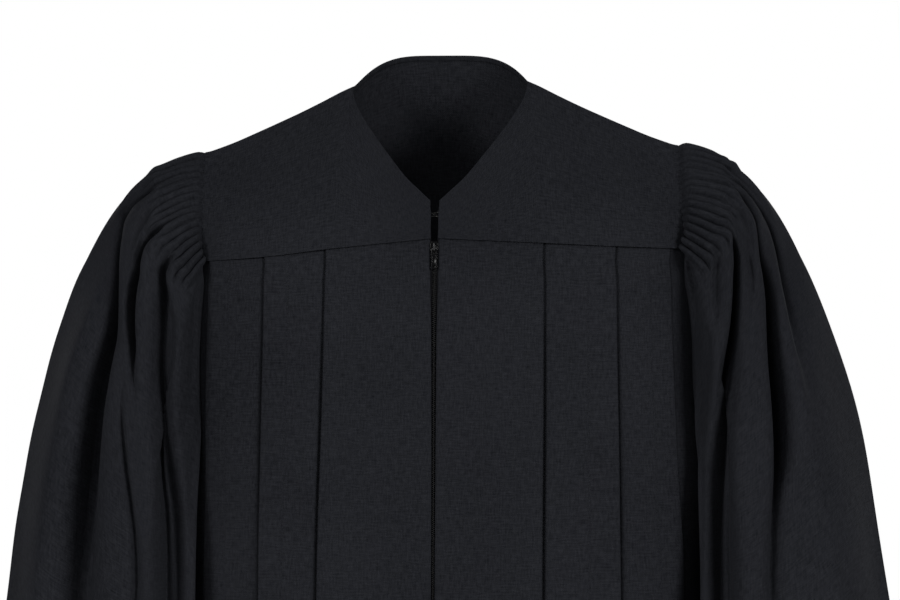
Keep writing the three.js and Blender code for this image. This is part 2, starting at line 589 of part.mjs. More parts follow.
// The stations of a front's level section: [distance from the centre, depth behind the outline].
function pleatStations(side, drop, section, edge) {
  const open = pleatOpening(drop);
  const { under, air, hemReach, hemDepth, hemRound, hemShoulder, waistDrop } = PLEAT;
  const below = smooth(drop, waistDrop, HEM_DROP);
  const folded = 2 * CLOTH + air;
  const folds = side.pleats.map(({ chest, waist, hemShare }) => {
    const x = mix(chest, waist, smooth(drop, SEAM_PLACE_DROP, waistDrop));
    return mix(section.distanceAtX(x), hemShare * section.length, below);
  });
  const back = mix(under, -hemReach, open);
  const round = mix(0, hemRound, open);
  const start = frontGap(drop);
  const stations = [[start, 0], [mix(start, folds[0], 0.4), 0], [mix(start, folds[0], 0.8) - round, 0]];
  folds.forEach((fold, i) => {
    const end = i + 1 < folds.length ? folds[i + 1] : edge;
    const valley = fold - back;
    const shallow = mix(folded, hemDepth, open);
    const deep = mix(folded + air, hemDepth, open);
    stations.push([fold - round, 0], [fold + round, mix(folded, hemShoulder, open)]);
    stations.push([valley - round, shallow], [valley + round, deep]);
    const clear = Math.max(fold, valley + round);
    stations.push([mix(clear, end, 0.3), mix(deep, 0, 0.35)], [mix(clear, end, 0.7), mix(deep, 0, 0.85)]);
  });
  stations.push([edge, 0]);
  return stations;
}

// A level line moved sideways by the cloth's thickness, its corners kept square.
function offsetLine(line, distance) {
  const flat = line.map((place) => new THREE.Vector2(place.x, place.y));
  const sides = flat.slice(1).map((place, i) => {
    const along = place.clone().sub(flat[i]).normalize();
    return new THREE.Vector2(-along.y, along.x);
  });
  return line.map((place, i) => {
    const [before, after] = [sides[Math.max(0, i - 1)], sides[Math.min(sides.length - 1, i)]];
    const middle = before.clone().add(after).normalize();
    const reach = distance / Math.max(0.5, middle.dot(after));
    return point(place.x + middle.x * reach, place.y + middle.y * reach, place.z);
  });
}

function frontPanel(side) {
  const rows = PANEL_DROPS.map((drop, i) => {
    const section = torsoSection(side, drop, "front");
    const edge = edgeDistance(side, drop, "front");
    const line = pleatStations(side, drop, section, edge).map(([distance, depth]) => {
      if (i > 0) return section.at(distance, depth);
      const seamDrop = frontSeamDrop(side, Math.abs(section.at(distance).x)) + SEAM_GAP / 2;
      const share = distance / edge;
      return torsoSection(side, seamDrop, "front").at(share * edgeDistance(side, seamDrop, "front"), depth);
    });
    const last = line.length - 1;
    if (drop < UNDERARM_DROP) line[last].addScaledVector(point(side.sign, 0, 0), -SEAM_GAP / 2);
    else line[last].y -= SEAM_GAP / 2;
    const inner = offsetLine(line, side.sign * CLOTH);
    if (drop < UNDERARM_DROP) inner[last].x = line[last].x;
    else inner[last].y = line[last].y;
    return row(line.map((_, k) => k), line.map((place, k) => corner(place, [], inner[k])));
  });
  return clothWall(rows, { turned: side.sign < 0 });
}

// The back, drawn up in flutes under the yoke

const BACK_FLUTED_ROWS = 4; // the rows of the panel that have columns for the flutes
const BACK_PLAIN_COLUMNS = 38;

// A ridge with a round top between two sharp valleys, for a place that counts flutes.
const flute = (place) => Math.abs(Math.sin(Math.PI * place)) ** 0.75;
// The three columns that each flute has: its valley and the two shoulders of its ridge.
function fluteColumns(count, from, to) {
  const places = Array.from({ length: count }, (_, i) => [i, i + 0.3, i + 0.7]).flat().concat(count);
  return places.map((place) => mix(from, to, place / count));
}

// The folds grow from their tops to the waist, and again to the hem.
function backFoldDepth(place, drop) {
  return BACK_FOLDS.reduce((sum, { at, half, from, depth }) => {
    const grown = mix(smooth(drop, 600, HEM_DROP), smooth(drop, from, 760), BACK_FOLD_AT_WAIST);
    return sum + depth * grown * Math.exp(-(((place - at) / half) ** 2));
  }, 0);
}

function backPoint(share, drop) {
  const side = share < 0 ? SIDES.right : SIDES.left;
  const section = torsoSection(side, drop, "back");
  const out = Math.abs(share);
  const inFlutes = out <= BACK_FLUTED_SHARE;
  const inner = Math.min(out, BACK_FLUTED_SHARE) * BACK_YOKE_SHARE * section.length;
  const outer = (out - BACK_FLUTED_SHARE) / (1 - BACK_FLUTED_SHARE);
  const distance = inFlutes ? inner : mix(inner, edgeDistance(side, drop, "back"), outer);
  const fluteCount = (share / BACK_FLUTED_SHARE + 1) * 0.5 * BACK_FLUTES;
  const height = inFlutes ? backFluteHeight(drop) * flute(fluteCount) : 0;
  const place = distance / section.length;
  const ease = 1 - smooth(place, 0.93, 1);
  return section.at(distance, backFoldDepth(place * Math.sign(share), drop) * ease - height);
}

function backPanel() {
  const sideColumns = [-1, -0.95, -0.91, -0.86];
  const fine = fluteColumns(BACK_FLUTES, -BACK_FLUTED_SHARE, BACK_FLUTED_SHARE);
  const plain = steps(BACK_PLAIN_COLUMNS, -BACK_FLUTED_SHARE, BACK_FLUTED_SHARE);
  const withSides = (middle) => [...sideColumns, ...middle, ...sideColumns.map((share) => -share).reverse()];
  const rows = PANEL_DROPS.map((drop, i) => {
    const columns = withSides(i < BACK_FLUTED_ROWS ? fine : plain);
    return row(columns, columns.map((share) => {
      const side = share < 0 ? SIDES.right : SIDES.left;
      const level = i > 0 ? drop : backSeamDrop(side, Math.abs(backPoint(share, drop).x));
      const ways = i === 0 ? [UP] : [];
      if (Math.abs(share) === 1) ways.push(drop < UNDERARM_DROP ? point(side.sign, 0, 0) : FORWARD);
      return seamCorner(backPoint(share, level), ways);
    }));
  });
  return clothWall(rows, { turned: true });
}

// The sleeves

const SLEEVE_FLUTED_ROWS = [0, 0.035, 0.075, 0.115, 0.16];
const SLEEVE_PLAIN_ROWS = [0.2, 0.245, 0.3, 0.37, 0.46, 0.57, 0.7, 0.85, 1];
const SLEEVE_COLUMNS = 52; // round the plain part
const EVEN_ALONG = 0.5; // where those columns are evenly spaced
const STEEP_SIDE = 0.62; // a fold's half width towards the body, against the one away from it

// The sleeve without its flutes and folds: each line from the armhole leaves outward and then falls to the cuff.
function sleeveBase(side, w, along) {
  const onFront = w <= SHOULDER_W;
  const line = sleeveLineAt(onFront ? w : 1 - w);
  const start = armholePoint(side, w).addScaledVector(acrossArmhole(side, w), SEAM_GAP / 2);
  const leaving = point(side.sign * line.out, onFront ? -line.forward : line.forward, -line.down).normalize();
  const leave = start.clone().addScaledVector(leaving, line.reach);
  const outer = smooth(line.cuffOut, SLEEVE_LINES[0].cuffOut, SLEEVE_LINES[SLEEVE_LINES.length - 1].cuffOut);
  const out = line.cuffOut + mix(side.wider, side.cuffWider, outer) - side.sleeveLap * line.lap;
  const end = point(side.sign * out, line.cuffForward * (onFront ? -1 : CUFF_BACK), -CUFF_DROP);
  const hanging = point(-side.sign * line.lean, 0, 1);
  const arrive = end.clone().addScaledVector(hanging, mix(CUFF_RISE.in, CUFF_RISE.out, outer));
  return bezier(start, leave, arrive, end, along);
}

const followFold = ({ w0, rows }) => ({ w0, at: columnsOf(rows, "along", ["w", "half", "depth"]) });
const foldsOfSleeve = Object.fromEntries(Object.entries(SLEEVE_FOLDS).map(([name, { front, back }]) => [
  name, { front: front.map(followFold), back: back.map(followFold) },
]));

// Maps places through pairs of [from, to], straight between them.
function remap(pairs, value) {
  const i = Math.max(1, pairs.findIndex(([from]) => from >= value));
  const [[a, b], [c, d]] = [pairs[i - 1], pairs[i]];
  return mix(b, d, (value - a) / (c - a));
}

// The lines of the cloth drift with the folds: pairs of [place on the armhole, place at this share of the way].
function drift(side, along) {
  const { front, back } = foldsOfSleeve[side.name];
  return [[0, 0], ...front.map((fold) => [fold.w0, fold.at(along).w]), [SHOULDER_W, SHOULDER_W],
    ...back.map((fold) => [1 - fold.w0, 1 - fold.at(along).w]).reverse(), [1, 1]];
}

// How deep the cloth lies in a fold: its valley is steep towards the body and soft away from it.
function foldDepth(side, w, along) {
  const up = w <= SHOULDER_W ? w : 1 - w;
  return foldsOfSleeve[side.name][w <= SHOULDER_W ? "front" : "back"].reduce((sum, fold) => {
    const { w: valley, half, depth } = fold.at(along);
    const off = (up - valley) / (up < valley ? half * STEEP_SIDE : half);
    return sum + depth * Math.exp(-off * off);
  }, 0);
}

// A point of the sleeve, for a line of the cloth that starts at w0 on the armhole.
function sleevePoint(side, w0, along) {
  const w = remap(drift(side, along), w0);
  const base = sleeveBase(side, w, along);
  const step = 0.004;
  const wNear = w + (w > 0.5 ? -step : step);
  const alongNear = along + (along > 0.5 ? -step : step);
  const sideways = sleeveBase(side, wNear, along).sub(base).multiplyScalar(Math.sign(wNear - w));
  const downwards = sleeveBase(side, w, alongNear).sub(base).multiplyScalar(Math.sign(alongNear - along));
  const normal = sideways.cross(downwards).multiplyScalar(-side.sign).normalize();
  const across = acrossArmhole(side, w0);
  normal.addScaledVector(across, -normal.dot(across) * (1 - smooth(along, 0, 0.05))).normalize();
  const inFlutes = w0 >= YOKE_CORNER_W && w0 <= 1 - YOKE_CORNER_W;
  const place = ((w0 - YOKE_CORNER_W) / (1 - 2 * YOKE_CORNER_W)) * SLEEVE_FLUTES;
  const puffed = smooth(Math.min(w0, 1 - w0), YOKE_CORNER_W - 0.08, YOKE_CORNER_W + 0.06);
  const height = (inFlutes ? sleeveFluteHeight(along) * flute(place) : 0) + headPuff(along) * puffed;
  return base.addScaledVector(normal, height - foldDepth(side, w, along));
}

function sleeve(side) {
  const low = steps(ARMHOLE.length - 1, 0, YOKE_CORNER_W).slice(0, -1);
  const fine = fluteColumns(SLEEVE_FLUTES, YOKE_CORNER_W, 1 - YOKE_CORNER_W);
  const fluted = [...low, ...fine, ...low.slice(1).map((w) => 1 - w).reverse()];
  const falling = drift(side, EVEN_ALONG).map(([from, to]) => [to, from]);
  const plain = steps(SLEEVE_COLUMNS).slice(0, -1).map((w) => remap(falling, w));
  const rows = [...SLEEVE_FLUTED_ROWS, ...SLEEVE_PLAIN_ROWS].map((along, i) => {
    const columns = i < SLEEVE_FLUTED_ROWS.length ? fluted : plain;
    const ways = (w) => (along === 0 ? [acrossArmhole(side, w)] : []);
    return row(columns, columns.map((w) => corner(sleevePoint(side, w, along), ways(w))));
  });
  return clothWall(rows, { closed: true, turned: side.sign < 0 });
}

// The zip and the hook and eye

const TAPE = { outer: 16, thick: 1, behind: CLOTH + 0.5 };
// Half of the distance between the two tapes, which spread apart above the slider.
const TAPE_EDGE = [
  { drop: ZIP_TOP_DROP, half: 3.8 }, { drop: 152, half: 3.4 }, { drop: 166, half: 2.8 },
  { drop: 300, half: 2.8 },
];
const CHAIN = { width: 5, thick: 2 };
const CHAIN_TOP = 2; // the chain's top in the slider's frame
const STOP = { width: 5, height: 3.4, thick: 2.4 };
const SLIDER = {
  width: 7.2, foot: 5.6, plate: 1, up: 5.2, down: 5.2, bridge: 4.4, chainAir: 0.3, cut: 1.2, taper: 3,
};
const CROWN = { width: 1.8, up: 3.6, down: 4.2, out: 3, bar: 1.1, cut: 0.8, root: 0.4 };
const TAB = {
  width: 5.4, thick: 1.1, bar: 1.1, hole: 3, holeLength: 3.6, length: 19.5, eyelet: 1.3, eyeletRise: 3.4,
  cut: 1.4, seat: 0.25,
};
const WIRE = 0.9;
const WIRE_STEPS = 16;
const FASTENER_X = 6; // how far from the centre the face is taken that the fasteners lie against

const tapeEdge = follow(TAPE_EDGE, "drop", "half");
const zipDrops = PANEL_DROPS.slice(1).filter((drop) => drop < ZIP_END_DROP);
const frontRows = [CENTRE_SEAM_DROP, ...PANEL_DROPS.slice(1)].map((drop) => [drop, -torsoAt(drop).front]);

// The face of the centre front, straight between the rows of the front panels. x counts only on the yoke.
function frontFace(drop, x = 0) {
  return drop < CENTRE_SEAM_DROP ? chestPoint(SIDES.right, x, -drop).y : remap(frontRows, drop);
}

// A flat strip that follows the centre front: half widths and depths behind the front's face by drop.
function strip(drops, from, to, behind, thick) {
  const corners = drops.flatMap((drop) => {
    const [near, far] = [from(drop), to(drop)].map((x) => frontFace(drop, Math.abs(x)) + behind);
    return [point(from(drop), near, -drop), point(to(drop), far, -drop), point(to(drop), far + thick, -drop),
      point(from(drop), near + thick, -drop)];
  });
  const last = (drops.length - 1) * 4;
  const ends = [[0, 2, 1], [0, 3, 2], [last, last + 1, last + 2], [last, last + 2, last + 3]];
  const walls = drops.slice(1).flatMap((_, i) => [0, 1, 2, 3].flatMap((k) => {
    const [a, b] = [i * 4 + k, i * 4 + ((k + 1) % 4)];
    return [[a, b, a + 4], [b, b + 4, a + 4]];
  }));
  const geometry = new THREE.BufferGeometry();
  const positions = corners.flatMap((place) => place.toArray());
  geometry.setAttribute("position", new THREE.Float32BufferAttribute(positions, 3));
  const faces = [...ends, ...walls];
  if (from(drops[0]) < to(drops[0])) faces.forEach((face) => face.reverse());
  geometry.setIndex(faces.flat());
  return geometry;
}

function tape(side) {
  const drops = [ZIP_TOP_DROP, 142, CENTRE_SEAM_DROP, 157, ...zipDrops, ZIP_END_DROP + 6];
  const inner = (drop) => side.sign * tapeEdge(drop);
  return strip(drops, inner, () => side.sign * TAPE.outer, TAPE.behind, TAPE.thick);
}

function chain() {
  const half = CHAIN.width / 2;
  const drops = [SLIDER_DROP - CHAIN_TOP + 0.5, ...zipDrops, ZIP_END_DROP - STOP.height];
  return strip(drops, () => -half, () => half, TAPE.behind, CHAIN.thick);
}

function bottomStop() {
  const half = STOP.width / 2;
  const drops = [ZIP_END_DROP - STOP.height + SEAM_GAP, ZIP_END_DROP];
  return strip(drops, () => -half, () => half, TAPE.behind - 0.2, STOP.thick);
}

function solidOf(geometry) {
  const bare = geometry.clone();
  bare.deleteAttribute("normal");
  bare.deleteAttribute("uv");
  const merged = mergeVertices(bare, 1e-4);
  return new wasm.Manifold(new wasm.Mesh({
    numProp: 3,
    vertProperties: merged.attributes.position.array,
    triVerts: Uint32Array.from(merged.index.array),
  }));
}

function geometryOf(solid) {
  const { vertProperties, triVerts } = solid.getMesh();
  const geometry = new THREE.BufferGeometry();
  geometry.setAttribute("position", new THREE.BufferAttribute(vertProperties, 3));
  geometry.setIndex(new THREE.BufferAttribute(triVerts, 1));
  return geometry;
}

// A flat outline in X and Z, extruded to the back from y = 0.
function plate(outline, thick, holes = []) {
  const shape = new THREE.Shape(outline.map(([x, z]) => new THREE.Vector2(x, z)));
  shape.holes = holes;
  return new THREE.ExtrudeGeometry(shape, { depth: thick, bevelEnabled: false, curveSegments: 6 })
    .rotateX(Math.PI / 2).translate(0, thick, 0);
}

// In the slider's own frame: the origin is the middle of its front face, +Z up along the zip.
function slider() {
  const { width, foot, plate: thick, up, down, bridge, chainAir, cut, taper } = SLIDER;
  const [w, f] = [width / 2, foot / 2];
  const outline = [
    [-f, -down], [f, -down], [w, taper - down], [w, up - cut], [w - cut, up], [cut - w, up], [-w, up - cut],
    [-w, taper - down],
  ];
  const backFace = TAPE.behind + CHAIN.thick + chainAir;
  const postFoot = CHAIN_TOP + chainAir;
  const b = bridge / 2;
  const post = plate([[-b, postFoot], [b, postFoot], [b, up], [-b, up]], backFace);
  const { width: wide, up: top, down: low, out, bar, cut: edge, root } = CROWN;
  const arch = new THREE.Shape([
    [root, -low], [edge - out, -low], [-out, edge - low], [-out, top - edge], [edge - out, top],
    [root, top], [root, top - bar], [bar - out, top - bar], [bar - out, bar - low], [root, bar - low],
  ].map(([y, z]) => new THREE.Vector2(y, z)));
  const crown = new THREE.ExtrudeGeometry(arch, { depth: wide, bevelEnabled: false })
    .applyMatrix4(new THREE.Matrix4().set(0, 0, 1, -wide / 2, 1, 0, 0, 0, 0, 1, 0, 0, 0, 0, 0, 1));
  const back = plate(outline, thick).translate(0, backFace, 0);
  const parts = [plate(outline, thick), post, crown, back].map(solidOf);
  return geometryOf(parts.reduce((body, next) => body.add(next)));
}

const TAB_AXIS = { out: (CROWN.out - CROWN.bar) / 2, z: CROWN.bar - CROWN.down + TAB.seat + TAB.bar / 2 };

// The pull tab hangs by its top bar in the crown, in the slider's frame.
function pullTab() {
  const top = TAB_AXIS.z + TAB.bar / 2;
  const low = top - TAB.length;
  const [w, h] = [TAB.width / 2, TAB.hole / 2];
  const { cut } = TAB;
  const outline = [
    [cut - w, top], [-w, top - cut], [-w, low + cut], [cut - w, low], [w - cut, low], [w, low + cut],
    [w, top - cut], [w - cut, top],
  ];
  const [holeTop, holeFoot] = [top - TAB.bar, top - TAB.bar - TAB.holeLength];
  const slot = new THREE.Path([[-h, holeTop], [h, holeTop], [h, holeFoot], [-h, holeFoot]]
    .map(([x, z]) => new THREE.Vector2(x, z)));
  const eyelet = new THREE.Path().absellipse(0, low + TAB.eyeletRise, TAB.eyelet, TAB.eyelet, 0, Math.PI * 2);
  return plate(outline, TAB.thick, [slot, eyelet]).translate(0, -TAB_AXIS.out - TAB.thick / 2, 0);
}

// Round wire along a smooth line, with flat ends.
function wire(places, segments) {
  const section = new THREE.Shape().absarc(0, 0, WIRE / 2, 0, Math.PI * 2);
  const extrudePath = new THREE.CatmullRomCurve3(places.map(([x, y, z]) => point(x, y, z)));
  const settings = { steps: segments, curveSegments: 3, extrudePath, bevelEnabled: false };
  return new THREE.ExtrudeGeometry(section, settings);
}

// The hook reaches from behind the right edge round the eye's end, which comes from behind the left edge.
const hook = () => wire([
  [-9, 1.3, 0], [-5, 1.3, 0], [1.6, 1.3, 0], [3.3, 0.9, 0], [3.9, 0, 0], [3.3, -0.9, 0], [1.6, -1.3, 0],
  [-0.8, -1.3, 0],
], WIRE_STEPS);
const eye = () => wire([
  [9, 0, 2.2], [5.4, 0, 2.2], [3, 0, 1.7], [2.2, 0, 0.8], [2, 0, 0], [2.2, 0, -0.8], [3, 0, -1.7],
  [5.4, 0, -2.2], [9, 0, -2.2],
], WIRE_STEPS);

const FABRIC = new THREE.MeshStandardMaterial({ color: 0x1c1d21, roughness: 0.9, metalness: 0 });
const TAPE_CLOTH = new THREE.MeshStandardMaterial({ color: 0x141417, roughness: 0.95, metalness: 0 });
const NYLON = new THREE.MeshStandardMaterial({ color: 0x17171a, roughness: 0.5, metalness: 0 });
const BLACK_METAL = new THREE.MeshStandardMaterial({ color: 0x2a2a2d, roughness: 0.35, metalness: 0.9 });

function piece(name, geometry, material) {
  const mesh = new THREE.Mesh(geometry, material);
  mesh.name = name;
  return mesh;
}

const gown = new THREE.Group();
Object.values(SIDES).forEach((side) => {
  gown.add(piece(`yoke_front_${side.name}`, frontYoke(side), FABRIC));
  gown.add(piece(`front_${side.name}`, frontPanel(side), FABRIC));
  gown.add(piece(`sleeve_${side.name}`, sleeve(side), FABRIC));
  gown.add(piece(`zip_tape_${side.name}`, tape(side), TAPE_CLOTH));
});
gown.add(piece("yoke_back", backYoke(), FABRIC));
gown.add(piece("back", backPanel(), FABRIC));
gown.add(piece("zip_chain", chain(), NYLON));
gown.add(piece("zip_bottom_stop", bottomStop(), BLACK_METAL));

// A frame on the centre front whose Z runs up along the cloth, for the hard pieces that lie against it.
function frontFrame(drop, behind, pieces) {
  const reach = 8;
  const frame = new THREE.Group();
  const lean = (frontFace(drop - reach, FASTENER_X) - frontFace(drop + reach, FASTENER_X)) / (2 * reach);
  frame.position.set(0, frontFace(drop, FASTENER_X) + behind, -drop);
  frame.rotation.x = -Math.atan(lean);
  pieces.forEach((item) => frame.add(item));
  return frame;
}

gown.add(frontFrame(SLIDER_DROP, 0, [
  piece("zip_slider", slider(), BLACK_METAL), piece("zip_pull_tab", pullTab(), BLACK_METAL),
]));
gown.add(frontFrame(HOOK_DROP, CLOTH + WIRE, [
  piece("hook", hook(), BLACK_METAL), piece("eye", eye(), BLACK_METAL),
]));

export default gown;
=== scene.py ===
"""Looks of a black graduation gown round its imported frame: cloth, zip, hook and eye, light and camera.

The cloth follows the same curves as the frame's solids, sampled finer, with softer folds and turned edges.
"right" is the wearer's right, on -X, and "left" the wearer's left, on +X. A drop is a distance below the
origin.
"""
import logging
import math
from collections.abc import Callable, Sequence
from dataclasses import dataclass, field
from enum import Enum

import bpy
import numpy as np
from mathutils import Matrix, Vector


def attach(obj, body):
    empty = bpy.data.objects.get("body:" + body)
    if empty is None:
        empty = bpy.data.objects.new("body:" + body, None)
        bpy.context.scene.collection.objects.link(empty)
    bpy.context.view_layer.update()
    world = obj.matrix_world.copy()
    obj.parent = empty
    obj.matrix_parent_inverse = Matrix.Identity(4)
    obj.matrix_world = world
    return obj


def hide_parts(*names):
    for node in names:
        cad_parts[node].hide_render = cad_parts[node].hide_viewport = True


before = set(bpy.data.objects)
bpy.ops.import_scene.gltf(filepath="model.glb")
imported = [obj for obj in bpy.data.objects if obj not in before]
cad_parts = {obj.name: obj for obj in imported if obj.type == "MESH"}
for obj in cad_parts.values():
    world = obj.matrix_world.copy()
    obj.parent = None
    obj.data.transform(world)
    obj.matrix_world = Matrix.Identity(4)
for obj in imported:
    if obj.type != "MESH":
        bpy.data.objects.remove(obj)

LOG = logging.getLogger("gown")
Numbers = float | np.ndarray
MM = 0.001  # the cloth's formulas are in millimetres, and its meshes in metres

# Driving dimensions, in millimetres
CLOTH = 0.8  # thickness of one layer
HEM_EXTRA = 0.8  # what a turned edge adds to it
SEAM_GAP = 0.15  # from a seam's line to the cloth on either side
UNDERARM_DROP = 370
CUFF_DROP = 718
HEM_DROP = 1365
SIDE_NECK = 86
NECK_BACK = 78
NECK_RIM_RISE = 36
NECK_RIM_POWER = 3.3
NECK_CORNER_SPREAD = 0.2
SIDE_NECK_SETBACK = 8
SHOULDER_SETBACK = 3
CENTRE_SEAM_DROP = 149.5
BACK_SEAM_DROP = 156
SLIDER_DROP = 158
ZIP_END_DROP = 884
HOOK_DROP = 127
FLOOR_DROP = 1665  # the hem hangs 0.3 m above the floor

NECK_SHARE = 0.42  # of a yoke's width, the part that ends at the neck
CHEST_PITCH = 48
BACK_PITCH = (76, 36)
YOKE_REACH = 0.36
YOKE_CORNER_W = 0.32
SHOULDER_W = 0.5
SLEEVE_FLUTES = 32
BACK_FLUTES = 30
BACK_FLUTED_SHARE = 0.82
BACK_YOKE_SHARE = 0.77
SEAM_PLACE_DROP = 165
CUFF_RISE = (150, 300)
CUFF_BACK = 0.86


def mix(a: Numbers, b: Numbers, share: Numbers) -> Numbers:
    """Goes from a to b by a share."""
    return a + (b - a) * share


def smooth(at: Numbers, low: float, high: float) -> Numbers:
    """Rises softly from 0 at low to 1 at high."""
    t = np.clip((np.asarray(at, float) - low) / (high - low), 0, 1)
    return t * t * (3 - 2 * t)


def points(x: Numbers, y: Numbers, z: Numbers) -> np.ndarray:
    """Joins coordinates into an array of points."""
    return np.stack(np.broadcast_arrays(*(np.asarray(v, float) for v in (x, y, z))), axis=-1)


def unit(vectors: np.ndarray) -> np.ndarray:
    """Scales vectors to length 1."""
    return vectors / np.maximum(np.linalg.norm(vectors, axis=-1, keepdims=True), 1e-9)


def bezier(a: np.ndarray, b: np.ndarray, c: np.ndarray, d: np.ndarray, t: Numbers) -> np.ndarray:
    """Points of a cubic curve.

    Args:
        a: Where the curve starts.
        b: The handle that it leaves towards.
        c: The handle that it arrives from.
        d: Where it ends.
        t: The share of the way.

    Returns:
        The points, with t's shape.
    """
    t = np.asarray(t, float)[..., None]
    s = 1 - t
    return s**3 * a + 3 * s * s * t * b + 3 * s * t * t * c + t**3 * d


class Table:
    """Rows of numbers under named columns, read as smooth values that never overshoot."""

    def __init__(self, columns: str, *rows: Sequence[float]) -> None:
        """Keeps the rows.

        Args:
            columns: The columns' names, the key's first.
            rows: The numbers, a row for each value of the key.
        """
        values = np.array(rows, float).T
        self.key = values[0]
        self.columns = dict(zip(columns.split(), values))

    def __call__(self, column: str, at: Numbers) -> np.ndarray:
        """Reads a column at some values of the key.

        Args:
            column: The column's name.
            at: Values of the key.

        Returns:
            The column's values there.
        """
        x, y = self.key, self.columns[column]
        at = np.clip(np.asarray(at, float), x[0], x[-1])
        i = np.clip(np.searchsorted(x, at, side="right") - 1, 0, len(x) - 2)
        secant = np.diff(y) / np.diff(x)
        before, after = secant[:-1], secant[1:]
        total = before + after
        middle = np.where(before * after > 0, 2 * before * after / np.where(total == 0, 1, total), 0)
        slope = np.concatenate([secant[:1], middle, secant[-1:]])
        width = x[i + 1] - x[i]
        t = (at - x[i]) / width
        t2, t3 = t * t, t * t * t
        return (
            (2 * t3 - 3 * t2 + 1) * y[i] + (t3 - 2 * t2 + t) * width * slope[i]
            + (3 * t2 - 2 * t3) * y[i + 1] + (t3 - t2) * width * slope[i + 1]
        )


TORSO = Table(
    "drop half front back power",
    (140, 248, 110, 106, 3), (250, 253, 121, 118, 3), (UNDERARM_DROP, 258, 130, 128, 3),
    (450, 255, 138, 138, 2.9), (550, 255, 149, 151, 2.8), (720, 266, 171, 176, 2.6),
    (1000, 313, 214, 222, 2.3), (HEM_DROP, 382, 268, 282, 2.1),
)
ARMHOLE = Table(
    "drop share",
    (171, 0), (190, 0.04), (215, 0.12), (250, 0.26), (290, 0.45), (325, 0.66), (352, 0.86),
    (UNDERARM_DROP, 1),
)
NECK_EDGE = Table(
    "share x drop",
    (0, SIDE_NECK, 0), (0.1, 83.5, 12), (0.25, 76, 27), (0.4, 64, 45), (0.62, 44.5, 71), (0.8, 28, 91.5),
    (0.92, 13.5, 105.5), (1, 5.1, 113.5),
)
SHOULDER_LINE = Table(
    "share fall",
    (0, 0), (0.07, 0.07), (0.2, 0.22), (0.34, 0.375), (0.5, 0.54), (0.65, 0.69), (0.81, 0.845), (1, 1),
)
FRONT_GAP = Table("drop half", (140, 3.7), (158, 4.1), (178, 4.1), (240, 2.6), (420, 1.9), (800, 1.4),
                  (900, 0.2))
PLEAT_OPENING = Table("drop open", (150, 0), (560, 0.02), (720, 0.14), (900, 0.42), (1100, 0.74),
                      (HEM_DROP, 1))
SLEEVE_LINES = Table(
    "w out forward down reach cuff_out cuff_forward lean lap",
    (0, 0.36, 0, 0.93, 60, 284, 0, 0, 0),
    (0.08, 0.4, 0.25, 0.88, 60, 276, 58, 0, 0.1),
    (0.16, 0.3, 0.64, 0.7, 62, 256, 112, 0, 0.6),
    (0.24, 0.16, 0.76, 0.6, 68, 246, 148, 0.02, 1),
    (0.32, 0.5, 0.66, 0.5, 85, 292, 164, 0.04, 0.6),
    (0.41, 0.86, 0.26, 0.34, 135, 392, 128, 0.1, 0.1),
    (0.5, 0.96, 0, 0.28, 180, 455, 0, 0.14, 0),
)
# How far the gathered cloth bulges inwards beside the armhole, and how far it lies back against the side
# of the front.
SLEEVE_BULGE = Table("along share", (0, 0), (0.05, 1), (0.15, 0.8), (0.3, 0.5), (0.5, 0.1), (1, 0))
BULGE = 7
TUCK = Table("w back", (0, 0), (0.08, 0), (0.16, 14), (0.2, 25), (0.24, 34), (0.262, 34), (0.28, 25),
             (0.295, 13),
             (0.31, 4), (0.325, 0), (0.5, 0))
TUCK_GROWTH = Table("along share", (0, 0), (0.03, 0.12), (0.1, 0.55), (0.2, 0.85), (0.3, 0.95), (0.4, 0.75),
                    (0.5, 0.55), (0.65, 0.4), (0.8, 0.3), (1, 0))
HEAD_PUFF = Table("along puff", (0, 0), (0.06, 3.5), (0.14, 6), (0.3, 0))
SEAM_TILT = Table("w tilt", (0, 50), (0.16, 12), (0.32, 0), (0.5, -20))
# A flute is gone soon after the seam, where it runs together with its neighbours into one pucker.
FLUTE_HEIGHT = Table("way height", (0, 1.6), (2.5, 4.6), (8, 6.8), (34, 7.2), (44, 5.6), (51, 2),
                     (58, 0.5), (65, 0))
CORNER_FLUTES = 4  # of the first and last flutes, which are shorter
CORNER_SHORTER = 0.3
KNOT_HEIGHT = 2  # of the small lump in which a flute ends
KNOT_LENGTH = 6
KNOT_WAY = 49
PUCKER_RISE = (34, 56)
PUCKER_LEAN = (40, 150)  # where the puckers lean over to one side


def flute(place: Numbers) -> np.ndarray:
    """A ridge with a round top between two sharp valleys, for a place that counts flutes."""
    return np.abs(np.sin(math.pi * np.asarray(place))) ** 0.44


